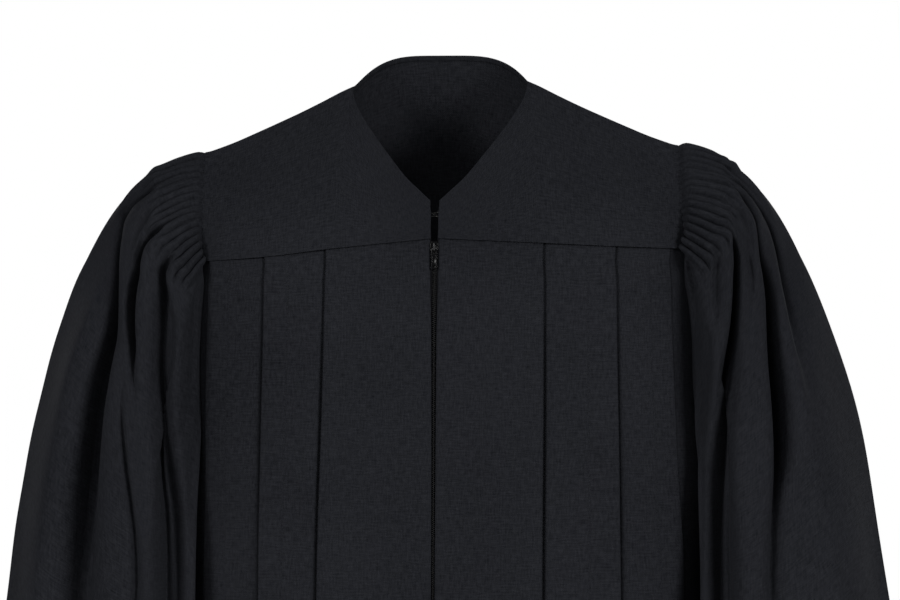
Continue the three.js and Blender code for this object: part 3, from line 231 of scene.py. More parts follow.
@dataclass(frozen=True)
class Gathers:
    """A row of flutes that run together into puckers, each flute with a height and an end of its own.

    Attributes:
        puckers: For each, the flute at which it ends, its height, how far it reaches from the seam, and its
            lean in flutes.
        seed: What the flutes' heights and ends are drawn from.
        rise: How much higher than FLUTE_HEIGHT the flutes stand.
    """

    puckers: tuple[tuple[float, float, float, float], ...]
    seed: int
    rise: float = 1.0

    SAMPLES = (0, 0.07, 0.16, 0.3, 0.5, 0.7, 0.84, 0.93)
    UNEVEN = (-9, 9)

    @property
    def count(self) -> int:
        """How many flutes there are."""
        return int(self.puckers[-1][0])

    def columns(self) -> np.ndarray:
        """Where the columns lie, counted in flutes: close together in the valleys."""
        return np.append(np.add.outer(np.arange(self.count), self.SAMPLES).ravel(), self.count)

    def height(self, place: np.ndarray, way: np.ndarray) -> np.ndarray:
        """How far the cloth stands out.

        Args:
            place: The columns' places, counted in flutes.
            way: How far each point has come from the seam, row by column.

        Returns:
            The height, row by column.
        """
        draw = np.random.default_rng(self.seed)
        ends, tall = draw.uniform(*self.UNEVEN, self.count), draw.uniform(0.82, 1.16, self.count) * self.rise
        which = np.clip(np.floor(place).astype(int), 0, self.count - 1)
        ridge = flute(place)
        from_corner = np.minimum(np.abs(place), np.abs(self.count - place))
        way = way / (1 - CORNER_SHORTER * np.exp(-(from_corner / CORNER_FLUTES) ** 2))
        later = way - ends[which] * smooth(way, 0.4 * KNOT_WAY, 0.9 * KNOT_WAY)
        lump = KNOT_HEIGHT * ridge**2 * np.exp(-((way - KNOT_WAY - ends[which]) / KNOT_LENGTH) ** 2)
        last, height, foot, lean = np.array(self.puckers).T
        edges, leans = np.append(0, last), np.append(0, lean)
        leans[-1] = 0
        shift = smooth(way.mean(axis=1), *PUCKER_LEAN)
        grouped = np.array([np.interp(place, edges + leans * s, np.arange(len(edges))) for s in shift])
        group = np.clip(np.floor(grouped).astype(int), 0, len(last) - 1)
        along = smooth(way, *PUCKER_RISE) * (1 - smooth(way, 0.45 * foot[group], foot[group]))
        pucker = height[group] * along * np.abs(np.sin(math.pi * grouped)) ** 0.75
        inside = (place >= 0) & (place <= self.count)
        return inside * (FLUTE_HEIGHT("height", later) * tall[which] * ridge + lump + pucker)


class Fold:
    """A long fold of a sleeve: its valley's place, half width and depth on the way to the cuff."""

    def __init__(self, start: float, *rows: Sequence[float]) -> None:
        """Keeps the fold.

        Args:
            start: Where it leaves the armhole, in w.
            rows: (along, w, half width in w, depth) from the flutes to the cuff.
        """
        self.start = start
        self.shape = Table("along w half depth", (0, start, rows[0][2], 0), *rows)


@dataclass(frozen=True)
class Pleat:
    """A knife pleat of a front: its fold's place at the chest, the waist and the hem."""

    chest: float
    waist: float
    hem_share: float


@dataclass(frozen=True)
class Side:
    """What differs between the gown's two sides."""

    name: str
    sign: int
    shoulder: float
    shoulder_drop: float
    neck_lift: float
    corner: float
    corner_drop: float
    wider: float
    cuff_wider: float
    sleeve_lap: float
    seam: Table
    pleats: tuple[Pleat, ...]
    front_folds: tuple[Fold, ...]
    creases: tuple[Fold, ...]
    back_folds: tuple[Fold, ...]
    gathers: Gathers


RIGHT = Side(
    name="right", sign=-1, shoulder=230, shoulder_drop=64, neck_lift=1, corner=224, corner_drop=171,
    wider=0, cuff_wider=0, sleeve_lap=17,
    seam=Table("x drop", (0, 0), (104, 10.5), (163, 17.5), (224, 21.5)),
    pleats=(Pleat(103.5, 109.5, 0.27), Pleat(162.5, 166.5, 0.5), Pleat(218, 222, 0.75)),
    front_folds=(
        Fold(0.36, (0.05, 0.3645, 0.004, 0), (0.1, 0.367, 0.004, 3), (0.128, 0.371, 0.0049, 11),
             (0.149, 0.372, 0.0056, 16), (0.168, 0.367, 0.0078, 20), (0.181, 0.3605, 0.0102, 22),
             (0.213, 0.3535, 0.0115, 22), (0.252, 0.347, 0.012, 21), (0.297, 0.341, 0.0125, 21),
             (0.336, 0.332, 0.0125, 22), (0.379, 0.3225, 0.0125, 23), (0.421, 0.313, 0.0125, 24),
             (0.463, 0.3045, 0.013, 25), (0.505, 0.298, 0.0135, 26), (0.561, 0.293, 0.014, 26),
             (0.7, 0.288, 0.016, 26), (1, 0.285, 0.022, 20)),
        Fold(0.399, (0.05, 0.404, 0.003, 0), (0.1, 0.407, 0.0035, 4), (0.128, 0.41, 0.0042, 10),
             (0.158, 0.4115, 0.005, 16), (0.182, 0.4075, 0.0055, 20), (0.205, 0.4, 0.006, 23),
             (0.23, 0.396, 0.0065, 27), (0.255, 0.39, 0.0067, 28), (0.28, 0.383, 0.0062, 26),
             (0.305, 0.375, 0.0055, 20), (0.332, 0.3685, 0.005, 10), (0.355, 0.3625, 0.005, 4),
             (0.385, 0.3555, 0.005, 0), (0.5, 0.336, 0.005, 0), (0.7, 0.318, 0.01, 4), (1, 0.31, 0.014, 8)),
        Fold(0.43, (0.1, 0.434, 0.004, 0), (0.25, 0.412, 0.004, 0), (0.361, 0.374, 0.003, 0),
             (0.4, 0.3675, 0.003, 4), (0.43, 0.3615, 0.003, 7), (0.46, 0.355, 0.003, 8),
             (0.505, 0.3455, 0.003, 8),
             (0.549, 0.338, 0.0035, 8), (0.614, 0.332, 0.004, 8), (1, 0.326, 0.012, 10)),
        Fold(0.462, (0.05, 0.466, 0.0035, 0), (0.1, 0.471, 0.0038, 4), (0.131, 0.474, 0.0045, 11),
             (0.16, 0.477, 0.006, 16), (0.181, 0.476, 0.008, 19), (0.2, 0.466, 0.008, 18),
             (0.229, 0.45, 0.008, 20),
             (0.257, 0.431, 0.0088, 28), (0.295, 0.412, 0.009, 36), (0.331, 0.4015, 0.009, 42),
             (0.379, 0.3985, 0.0105, 46), (0.423, 0.396, 0.0116, 48), (0.463, 0.3925, 0.0122, 50),
             (0.503, 0.39, 0.013, 50), (0.542, 0.388, 0.0146, 48), (0.591, 0.385, 0.016, 46),
             (0.641, 0.3825, 0.0172, 42), (0.69, 0.3805, 0.0185, 40), (1, 0.372, 0.03, 30)),
    ),
    creases=(
        Fold(0.318, (0.104, 0.311, 0.009, 3), (0.192, 0.2955, 0.009, 5), (0.292, 0.287, 0.008, 6),
             (0.34, 0.2885, 0.007, 4), (0.4, 0.288, 0.008, 0), (1, 0.28, 0.008, 0)),
        Fold(0.47, (0.24, 0.465, 0.016, 0), (0.34, 0.442, 0.024, -5), (0.43, 0.437, 0.028, -7),
             (0.6, 0.43, 0.032, -8), (0.8, 0.425, 0.034, -5), (1, 0.425, 0.034, 0)),
        Fold(0.35, (0.17, 0.356, 0.007, 0), (0.213, 0.341, 0.009, 12), (0.252, 0.334, 0.0105, 16),
             (0.297, 0.328, 0.0115, 18), (0.336, 0.319, 0.0115, 19), (0.379, 0.3095, 0.0115, 19),
             (0.421, 0.2995, 0.0115, 19), (0.505, 0.284, 0.012, 18), (0.6, 0.277, 0.013, 16),
             (1, 0.27, 0.018, 5)),
    ),
    back_folds=(
        Fold(0.362, (0.1, 0.362, 0.006, 0), (0.2, 0.346, 0.014, 10), (0.4, 0.296, 0.026, 18),
             (0.65, 0.262, 0.028, 15), (1, 0.25, 0.028, 12)),
        Fold(0.424, (0.08, 0.424, 0.006, 0), (0.17, 0.414, 0.01, 12), (0.3, 0.376, 0.014, 22),
             (0.5, 0.346, 0.018, 22), (1, 0.332, 0.024, 22)),
        Fold(0.468, (0.1, 0.468, 0.006, 0), (0.18, 0.464, 0.009, 10), (0.3, 0.436, 0.015, 20),
             (0.55, 0.41, 0.02, 20), (1, 0.406, 0.027, 24)),
    ),
    gathers=Gathers((
        (0.8, 1.2, 58, 0), (2.2, 2, 62, 0), (3.6, 3, 84, 0), (5.2, 3.5, 76, 0.3), (7, 6, 120, 0),
        (8.4, 4, 88, 0.4),
        (9.8, 5.5, 110, 0), (12.6, 7, 140, 0), (14.2, 4, 90, 0.3), (16, 6, 124, 0), (18.8, 5, 96, 0),
        (20.4, 6, 146, -0.3), (22.8, 4.5, 86, 0), (24.4, 6, 124, -0.4), (26, 4, 80, -0.3), (28.3, 6, 134, 0),
        (30, 5, 82, 0), (SLEEVE_FLUTES, 4, 74, 0)), 7),
)
LEFT = Side(
    name="left", sign=1, shoulder=232, shoulder_drop=58, neck_lift=6, corner=237, corner_drop=159,
    wider=8, cuff_wider=14, sleeve_lap=3,
    seam=Table("x drop", (0, 0), (104, 4.5), (172, 7.5), (237, 9.5)),
    pleats=(Pleat(103.5, 102.5, 0.26), Pleat(172, 176, 0.49), Pleat(224, 235.5, 0.76)),
    front_folds=(
        Fold(0.376, (0.05, 0.382, 0.004, 0), (0.1, 0.39, 0.004, 2), (0.143, 0.399, 0.004, 6),
             (0.163, 0.3955, 0.0044, 14), (0.18, 0.39, 0.0046, 24), (0.201, 0.381, 0.0048, 34),
             (0.239, 0.367, 0.0052, 38), (0.265, 0.3575, 0.006, 38), (0.288, 0.348, 0.0095, 36),
             (0.311, 0.336, 0.0125, 34), (0.334, 0.3245, 0.0145, 33), (0.362, 0.3115, 0.0155, 31),
             (0.401, 0.3, 0.016, 30), (0.455, 0.2905, 0.016, 30), (0.509, 0.286, 0.016, 30),
             (0.563, 0.283, 0.016, 30), (0.7, 0.28, 0.018, 26), (1, 0.285, 0.024, 22)),
        Fold(0.4325, (0.05, 0.441, 0.003, 0), (0.1, 0.452, 0.0035, 4), (0.127, 0.458, 0.004, 9),
             (0.174, 0.451, 0.0045, 12), (0.21, 0.433, 0.0052, 16), (0.228, 0.427, 0.0065, 20),
             (0.248, 0.424, 0.0075, 26), (0.27, 0.42, 0.0088, 33), (0.298, 0.411, 0.0092, 38),
             (0.334, 0.399, 0.0085, 41), (0.37, 0.3915, 0.0082, 43), (0.408, 0.3865, 0.0087, 45),
             (0.449, 0.381, 0.009, 44), (0.478, 0.3765, 0.009, 40), (0.505, 0.371, 0.0085, 30),
             (0.53, 0.3645, 0.0075, 20), (0.574, 0.3575, 0.0072, 15), (0.657, 0.3515, 0.0085, 14),
             (1, 0.35, 0.022, 18)),
        Fold(0.46, (0.05, 0.466, 0.003, 0), (0.1, 0.474, 0.0035, 3), (0.134, 0.478, 0.004, 8),
             (0.207, 0.474, 0.0048, 13), (0.242, 0.4675, 0.006, 16), (0.269, 0.4605, 0.0075, 17),
             (0.29, 0.4555, 0.0089, 17), (0.315, 0.449, 0.0096, 17), (0.339, 0.4425, 0.0102, 16),
             (0.368, 0.436, 0.0106, 13), (0.396, 0.4315, 0.011, 10), (0.429, 0.428, 0.0114, 5),
             (0.473, 0.419, 0.0119, 0), (1, 0.43, 0.02, 6)),
    ),
    creases=(
        Fold(0.324, (0.038, 0.3205, 0.006, 3), (0.074, 0.313, 0.007, 9), (0.118, 0.3035, 0.0075, 10),
             (0.144, 0.296, 0.008, 7), (0.19, 0.2855, 0.008, 2), (0.226, 0.2795, 0.008, 0),
             (1, 0.27, 0.01, 0)),
        Fold(0.376, (0.121, 0.3725, 0.008, 1), (0.157, 0.361, 0.009, 5), (0.188, 0.35, 0.01, 7),
             (0.217, 0.341, 0.01, 5), (0.25, 0.3325, 0.009, 0), (1, 0.33, 0.01, 0)),
        Fold(0.43, (0.15, 0.42, 0.005, 0), (0.19, 0.4105, 0.005, 3), (0.213, 0.4055, 0.0055, 6),
             (0.246, 0.394, 0.0046, 4), (0.269, 0.387, 0.0042, 0), (1, 0.38, 0.005, 0)),
        Fold(0.44, (0.24, 0.446, 0.01, 0), (0.34, 0.427, 0.014, -4), (0.43, 0.414, 0.018, -6),
             (0.52, 0.404, 0.02, -5), (0.7, 0.41, 0.03, -4), (1, 0.41, 0.03, 0)),
        Fold(0.4, (0.29, 0.354, 0.01, 0), (0.334, 0.34, 0.0115, 9), (0.362, 0.3275, 0.013, 17),
             (0.401, 0.316, 0.0145, 21), (0.455, 0.3065, 0.0145, 22), (0.563, 0.2995, 0.0145, 22),
             (0.7, 0.296, 0.016, 18), (1, 0.293, 0.02, 7)),
    ),
    back_folds=(
        Fold(0.37, (0.1, 0.37, 0.006, 0), (0.2, 0.352, 0.013, 12), (0.4, 0.31, 0.024, 20),
             (0.65, 0.282, 0.026, 16), (1, 0.268, 0.026, 12)),
        Fold(0.436, (0.08, 0.436, 0.006, 0), (0.16, 0.428, 0.009, 11), (0.28, 0.396, 0.014, 21),
             (0.5, 0.364, 0.019, 24), (1, 0.352, 0.025, 24)),
        Fold(0.477, (0.1, 0.477, 0.006, 0), (0.18, 0.472, 0.009, 8), (0.32, 0.45, 0.014, 16),
             (0.6, 0.424, 0.019, 16), (1, 0.42, 0.026, 22)),
    ),
    gathers=Gathers((
        (2, 2, 64, 0), (3.4, 2.5, 70, 0.3), (5, 5, 100, 0), (6.6, 4, 80, 0.4), (8.2, 4.5, 96, 0.3),
        (10, 6.5, 150, 0),
        (12.4, 5, 130, 0), (14, 4.5, 90, 0.3), (16, 6, 126, 0), (18, 6, 112, 0), (19.6, 4, 76, -0.4),
        (21.7, 6.5, 150, 0), (24, 5, 92, -0.4), (25.8, 6, 128, -0.3), (27.6, 4.5, 84, 0), (30, 5, 110, 0),
        (SLEEVE_FLUTES, 4, 70, 0)), 8, 1.45),
)
SIDES = (RIGHT, LEFT)
BACK_GATHERS = Gathers((
    (2, 4, 90, 0.3), (4, 6, 150, 0.5), (5, 4, 80, 0.4), (8, 6.5, 120, 0.5), (10, 5, 96, 0.2),
    (13, 7, 170, 0.3),
    (14, 4, 84, 0), (17, 6, 134, -0.2), (19, 5.5, 96, -0.4), (20, 4, 80, -0.3), (23, 7, 160, -0.5),
    (25, 5, 100, -0.4),
    (28, 6, 130, -0.3), (BACK_FLUTES, 4, 84, 0)), 21)
# Folds of the back: the valley's place as a share of the way to the side seam, its half width, top and depth.
BACK_FOLDS = (
    (-0.83, 0.07, 330, 30), (-0.61, 0.065, 260, 36), (-0.39, 0.07, 240, 34), (-0.18, 0.06, 250, 38),
    (0.03, 0.065, 230, 34), (0.24, 0.06, 250, 38), (0.44, 0.07, 240, 34), (0.65, 0.065, 270, 36),
    (0.85, 0.07, 330, 28),
)


class Face(Enum):
    """The two faces of the torso: the column of its reach, and the way that the face looks along Y."""

    FRONT = ("front", -1)
    BACK = ("back", 1)


# The curves that the cloth follows

class Torso:
    """One side of the front or the back below the yoke, looked up by drop and by share of its width."""

    STEP = 5
    ANGLES = 480
    SHARES = 480

    def __init__(self, side: Side, face: Face) -> None:
        """Samples the level sections from the yoke to the hem.

        Args:
            side: The gown's side.
            face: The front or the back.
        """
        self.side = side
        self.face = face
        self.drops = np.arange(140, HEM_DROP + self.STEP, self.STEP, dtype=float)
        self.drops[-1] = HEM_DROP
        angle = np.linspace(0, math.pi / 2, self.ANGLES)
        column, way = face.value
        power = 2 / TORSO("power", self.drops)[:, None]
        self.x = self.half(self.drops)[:, None] * np.sin(angle) ** power
        self.y = way * TORSO(column, self.drops)[:, None] * np.clip(np.cos(angle), 0, 1) ** power
        gaps = np.hypot(np.diff(self.x), np.diff(self.y))
        self.distance = np.concatenate([np.zeros((len(self.drops), 1)), np.cumsum(gaps, axis=1)], axis=1)
        self.length = self.distance[:, -1]
        top = int(np.argmin(np.abs(self.drops - round(side.corner_drop / self.STEP) * self.STEP)))
        inset = self.length[top] - np.interp(side.corner, self.x[top], self.distance[top])
        open_share = 1 - ARMHOLE("share", np.maximum(self.drops, ARMHOLE.key[0]))
        self.edge = self.length - inset * np.where(self.drops >= UNDERARM_DROP, 0, open_share)
        shares = np.linspace(0, 1, self.SHARES)
        samples = np.arange(self.ANGLES)
        at = [np.interp(shares * edge, d, samples) for edge, d in zip(self.edge, self.distance)]
        place = np.array([points(np.interp(i, samples, x), np.interp(i, samples, y), 0)
                          for i, x, y in zip(at, self.x, self.y)])
        along = unit(np.gradient(place, axis=1))
        self.place = place
        self.inward = way * points(along[..., 1], -along[..., 0], 0)

    def half(self, drop: Numbers) -> np.ndarray:
        """The torso's half width at a drop."""
        return TORSO("half", drop) + self.side.wider * (1 - smooth(drop, 500, HEM_DROP))

    def reach_at(self, drop: Numbers, x: Numbers) -> np.ndarray:
        """How far in front or behind the outline lies, at a drop and a distance from the centre."""
        column, way = self.face.value
        power = TORSO("power", drop)
        inside = np.clip(1 - (np.abs(x) / self.half(drop)) ** power, 0, 1)
        return way * TORSO(column, drop) * inside ** (1 / power)

    def by_drop(self, values: np.ndarray, drop: Numbers) -> np.ndarray:
        """Reads a value that was worked out for each sampled drop."""
        return np.interp(drop, self.drops, values)

    def distance_at_x(self, drop: Numbers, x: Numbers) -> np.ndarray:
        """The way along a level section to a distance from the centre.

        Args:
            drop: The section's drop.
            x: The distance from the centre.

        Returns:
            The way from the centre along the cloth.
        """
        drop, x = np.broadcast_arrays(np.asarray(drop, float), np.asarray(x, float))
        row = np.clip((drop - self.drops[0]) / self.STEP, 0, len(self.drops) - 1.001)
        low = row.astype(int)
        ends = [np.array([np.interp(v, self.x[i], self.distance[i]) for v, i in zip(x.ravel(), r.ravel())])
                for r in (low, low + 1)]
        return mix(ends[0], ends[1], (row - low).ravel()).reshape(drop.shape)

    def at(self, share: Numbers, drop: Numbers, depth: Numbers = 0) -> np.ndarray:
        """Points on the torso, or behind its outline.

        Args:
            share: The way along the section, as a share of the way to the cloth's side edge.
            drop: The drops.
            depth: How far behind the outline.

        Returns:
            The points, in millimetres.
        """
        share, drop, depth = np.broadcast_arrays(*(np.asarray(v, float) for v in (share, drop, depth)))
        row = np.clip((drop - self.drops[0]) / self.STEP, 0, len(self.drops) - 1.001)
        column = np.clip(share * (self.SHARES - 1), 0, self.SHARES - 1.001)
        i, j = row.astype(int), column.astype(int)
        s, t = (row - i)[..., None], (column - j)[..., None]

        def read(grid: np.ndarray) -> np.ndarray:
            """Reads a grid between its samples."""
            return mix(mix(grid[i, j], grid[i, j + 1], t), mix(grid[i + 1, j], grid[i + 1, j + 1], t), s)

        place = read(self.place) + read(self.inward) * depth[..., None]
        place[..., 0] *= self.side.sign
        place[..., 2] = -drop
        return place


class Yoke:
    """The yoke over one shoulder, front and back, and the armhole that it shares with the sleeve."""

    FOOT = 3.8
    PINCH = 0.9  # how far the hook draws the edge in
    SHOULDER_CROWN = 12
    NECK_CURVE = (0.85, 0.9)
    UP_AT_SEAM = (0.16, 0.987)
    ARMHOLE_SAMPLES = 1601

    def __init__(self, side: Side, front: Torso, back: Torso) -> None:
        """Samples the armhole.

        Args:
            side: The gown's side.
            front: The torso's front on that side.
            back: The torso's back on that side.
        """
        self.side, self.front, self.back = side, front, back
        self.w = np.linspace(0, 1, self.ARMHOLE_SAMPLES)
        up = np.minimum(self.w, 1 - self.w)
        drops = np.array([side.corner_drop, *ARMHOLE.key[1:]])[::-1]
        low = Table("w drop", *zip(np.linspace(0, YOKE_CORNER_W, len(drops)), drops))("drop", up)
        down = np.clip((SHOULDER_W - up) / (SHOULDER_W - YOKE_CORNER_W), 0, 1)
        one = np.ones_like(down)
        on_front, on_yoke = (self.w <= SHOULDER_W)[:, None], (up >= YOKE_CORNER_W)[:, None]
        high = np.where(on_front, self.front_point(one, down), self.back_point(one, down))
        below = np.where(on_front, front.at(1, low), back.at(1, low))
        self.armhole = np.where(on_yoke, high, below)

    def front_seam(self, x: Numbers) -> np.ndarray:
        """The drop of the front yoke's seam."""
        return CENTRE_SEAM_DROP + self.side.seam("drop", np.abs(x))

    def back_seam(self, x: Numbers) -> np.ndarray:
        """The drop of the back yoke's seam."""
        return mix(BACK_SEAM_DROP, self.side.corner_drop, smooth(np.abs(x), 0, self.side.corner))

    def shoulder_point(self, share: Numbers) -> np.ndarray:
        """Points of the shoulder line, from the side neck point to the armhole."""
        fall = mix(-self.side.neck_lift, self.side.shoulder_drop, SHOULDER_LINE("fall", share))
        return points(
            self.side.sign * mix(SIDE_NECK, self.side.shoulder, share),
            mix(SIDE_NECK_SETBACK, SHOULDER_SETBACK, share), -fall,
        )

    def chest_point(self, x: Numbers, z: Numbers) -> np.ndarray:
        """Points of the chest above the yoke seam.

        Args:
            x: Distances from the centre.
            z: Heights.

        Returns:
            The points.
        """
        x, z = np.broadcast_arrays(np.asarray(x, float), np.asarray(z, float))
        on_shoulder = self.shoulder_point(np.clip((x - SIDE_NECK) / (self.side.shoulder - SIDE_NECK), 0, 1))
        rise = self.side.neck_lift + self.SHOULDER_CROWN * (1 - (x / SIDE_NECK) ** 2)
        outside = x >= SIDE_NECK
        top = np.stack([np.where(outside, on_shoulder[..., 1], SIDE_NECK_SETBACK),
                        np.where(outside, on_shoulder[..., 2], rise)], axis=-1)
        seam = self.front_seam(x)
        foot = np.stack([self.front.reach_at(seam, x), -seam], axis=-1)
        pitch = math.radians(CHEST_PITCH)
        reach = np.linalg.norm(top - foot, axis=-1, keepdims=True) * YOKE_REACH
        leave = top - np.array([math.cos(pitch), math.sin(pitch)]) * reach
        arrive = foot + np.array(self.UP_AT_SEAM) * reach
        low, high = np.zeros(x.shape), np.ones(x.shape)
        for _ in range(18):
            middle = (low + high) / 2
            above = bezier(top, leave, arrive, foot, middle)[..., 1] > z
            low, high = np.where(above, middle, low), np.where(above, high, middle)
        return points(self.side.sign * x, bezier(top, leave, arrive, foot, (low + high) / 2)[..., 0], z)

    def front_point(self, across: Numbers, down: Numbers) -> np.ndarray:
        """Points of the front yoke, from the centre to the armhole and from the top edge to the seam."""
        across, down = np.broadcast_arrays(np.asarray(across, float), np.asarray(down, float))
        share = np.clip(1 - across / NECK_SHARE, 0, 1)
        on_neck = across < NECK_SHARE
        shoulder = self.shoulder_point(np.clip((across - NECK_SHARE) / (1 - NECK_SHARE), 0, 1))
        top_x = np.where(on_neck, NECK_EDGE("x", share), np.abs(shoulder[..., 0]))
        neck_z = self.side.neck_lift * (1 - share) ** 2 - NECK_EDGE("drop", share)
        top_z = np.where(on_neck, neck_z, shoulder[..., 2])
        x = mix(top_x, mix(self.FOOT, self.side.corner, across), down)
        at_hook = np.exp(-(((down - 0.36) / 0.25) ** 2) - (x / 14) ** 2)
        x = x - self.PINCH * at_hook * np.exp(-((across / 0.05) ** 2))
        return self.chest_point(x, mix(top_z, -self.front_seam(x), down))

    def back_top(self, across: Numbers) -> np.ndarray:
        """Points of the back yoke's top edge: the rim of the neck hole, then the shoulder line."""
        angle = math.pi / 2 * np.clip(np.abs(across) / NECK_SHARE, 0, 1)
        out = np.where(across < 0, -1, 1) * SIDE_NECK * np.sin(angle) ** self.NECK_CURVE[0]
        back = mix(SIDE_NECK_SETBACK, NECK_BACK, np.clip(np.cos(angle), 0, 1) ** self.NECK_CURVE[1])
        rise = mix(NECK_RIM_RISE, self.side.neck_lift, np.sin(angle) ** NECK_RIM_POWER)
        rim = points(self.side.sign * out, back, rise)
        shoulder = self.shoulder_point(np.clip((across - NECK_SHARE) / (1 - NECK_SHARE), 0, 1))
        return np.where((across >= NECK_SHARE)[..., None], shoulder, rim)

    def back_point(self, across: Numbers, down: Numbers) -> np.ndarray:
        """Points of the back yoke on this side, from the centre out and from the top to the seam."""
        across, down = np.broadcast_arrays(np.asarray(across, float), np.asarray(down, float))
        inside = smooth(across, 0, 0.2) * smooth(1 - across, 0, 0.25)
        spread = NECK_CORNER_SPREAD * np.minimum(1, down * 2.2) * inside
        top = sum(self.back_top(across + offset * spread) for offset in (-1, -0.6, -0.2, 0.2, 0.6, 1)) / 6
        x = self.side.corner * across
        seam = self.back_seam(x)
        foot = points(self.side.sign * x, self.back.reach_at(seam, x), -seam)
        pitch = np.radians(mix(*BACK_PITCH, smooth(across, 0, 0.85)))
        reach = np.linalg.norm(top - foot, axis=-1, keepdims=True) * YOKE_REACH
        leave = top + points(0, np.cos(pitch), -np.sin(pitch)) * reach
        arrive = foot + np.array([0, -self.UP_AT_SEAM[0], self.UP_AT_SEAM[1]]) * reach
        return bezier(top, leave, arrive, foot, down)

    def armhole_point(self, w: np.ndarray) -> np.ndarray:
        """Points of the armhole, by w."""
        return np.stack([np.interp(w, self.w, self.armhole[:, k]) for k in range(3)], axis=-1)

    def across_armhole(self, w: Numbers) -> np.ndarray:
        """The direction that crosses the armhole seam, away from the body."""
        tilt = np.radians(SEAM_TILT("tilt", np.minimum(w, 1 - np.asarray(w))))
        return points(self.side.sign * np.cos(tilt), 0, np.sin(tilt))


class Undulation:
    """Slow, shallow unevenness that no cloth is without, from a few seeded waves."""

    WAVES = 9

    def __init__(self, seed: int, longest: float, shortest: float, height: float) -> None:
        """Draws the waves.

        Args:
            seed: The seed.
            longest: The longest wave.
            shortest: The shortest wave.
            height: The height of the longest.
        """
        draw = np.random.default_rng(seed)
        self.length = np.geomspace(longest, shortest, self.WAVES)
        turn = draw.uniform(0, math.tau, self.WAVES)
        self.way = np.stack([np.cos(turn), 0.45 * np.sin(turn)], axis=-1)
        self.phase = draw.uniform(0, math.tau, self.WAVES)
        self.height = height * self.length / longest

    def __call__(self, u: Numbers, v: Numbers) -> np.ndarray:
        """The height at places of the cloth, u across and v down, in millimetres."""
        return sum(
            h * np.sin(math.tau * (way[0] * u + way[1] * v) / length + phase)
            for h, way, length, phase in zip(self.height, self.way, self.length, self.phase)
        )


# Meshes of cloth

def tangents(grid: np.ndarray, axis: int, closed: bool = False) -> np.ndarray:
    """The unit directions along one axis of a grid of points, halfway between the sides that meet at each.

    Args:
        grid: The points.
        axis: 0 for down the rows and 1 for across the columns.
        closed: Whether the last column meets the first.

    Returns:
        A direction for each point.
    """
    if closed:
        grid = np.concatenate([grid[:, -1:], grid, grid[:, :1]], axis=1)
    sides = np.moveaxis(unit(np.diff(grid, axis=axis)), axis, 0)
    if not closed:
        sides = np.concatenate([sides[:1], sides, sides[-1:]])
    return np.moveaxis(unit(sides[1:] + sides[:-1]), 0, axis)


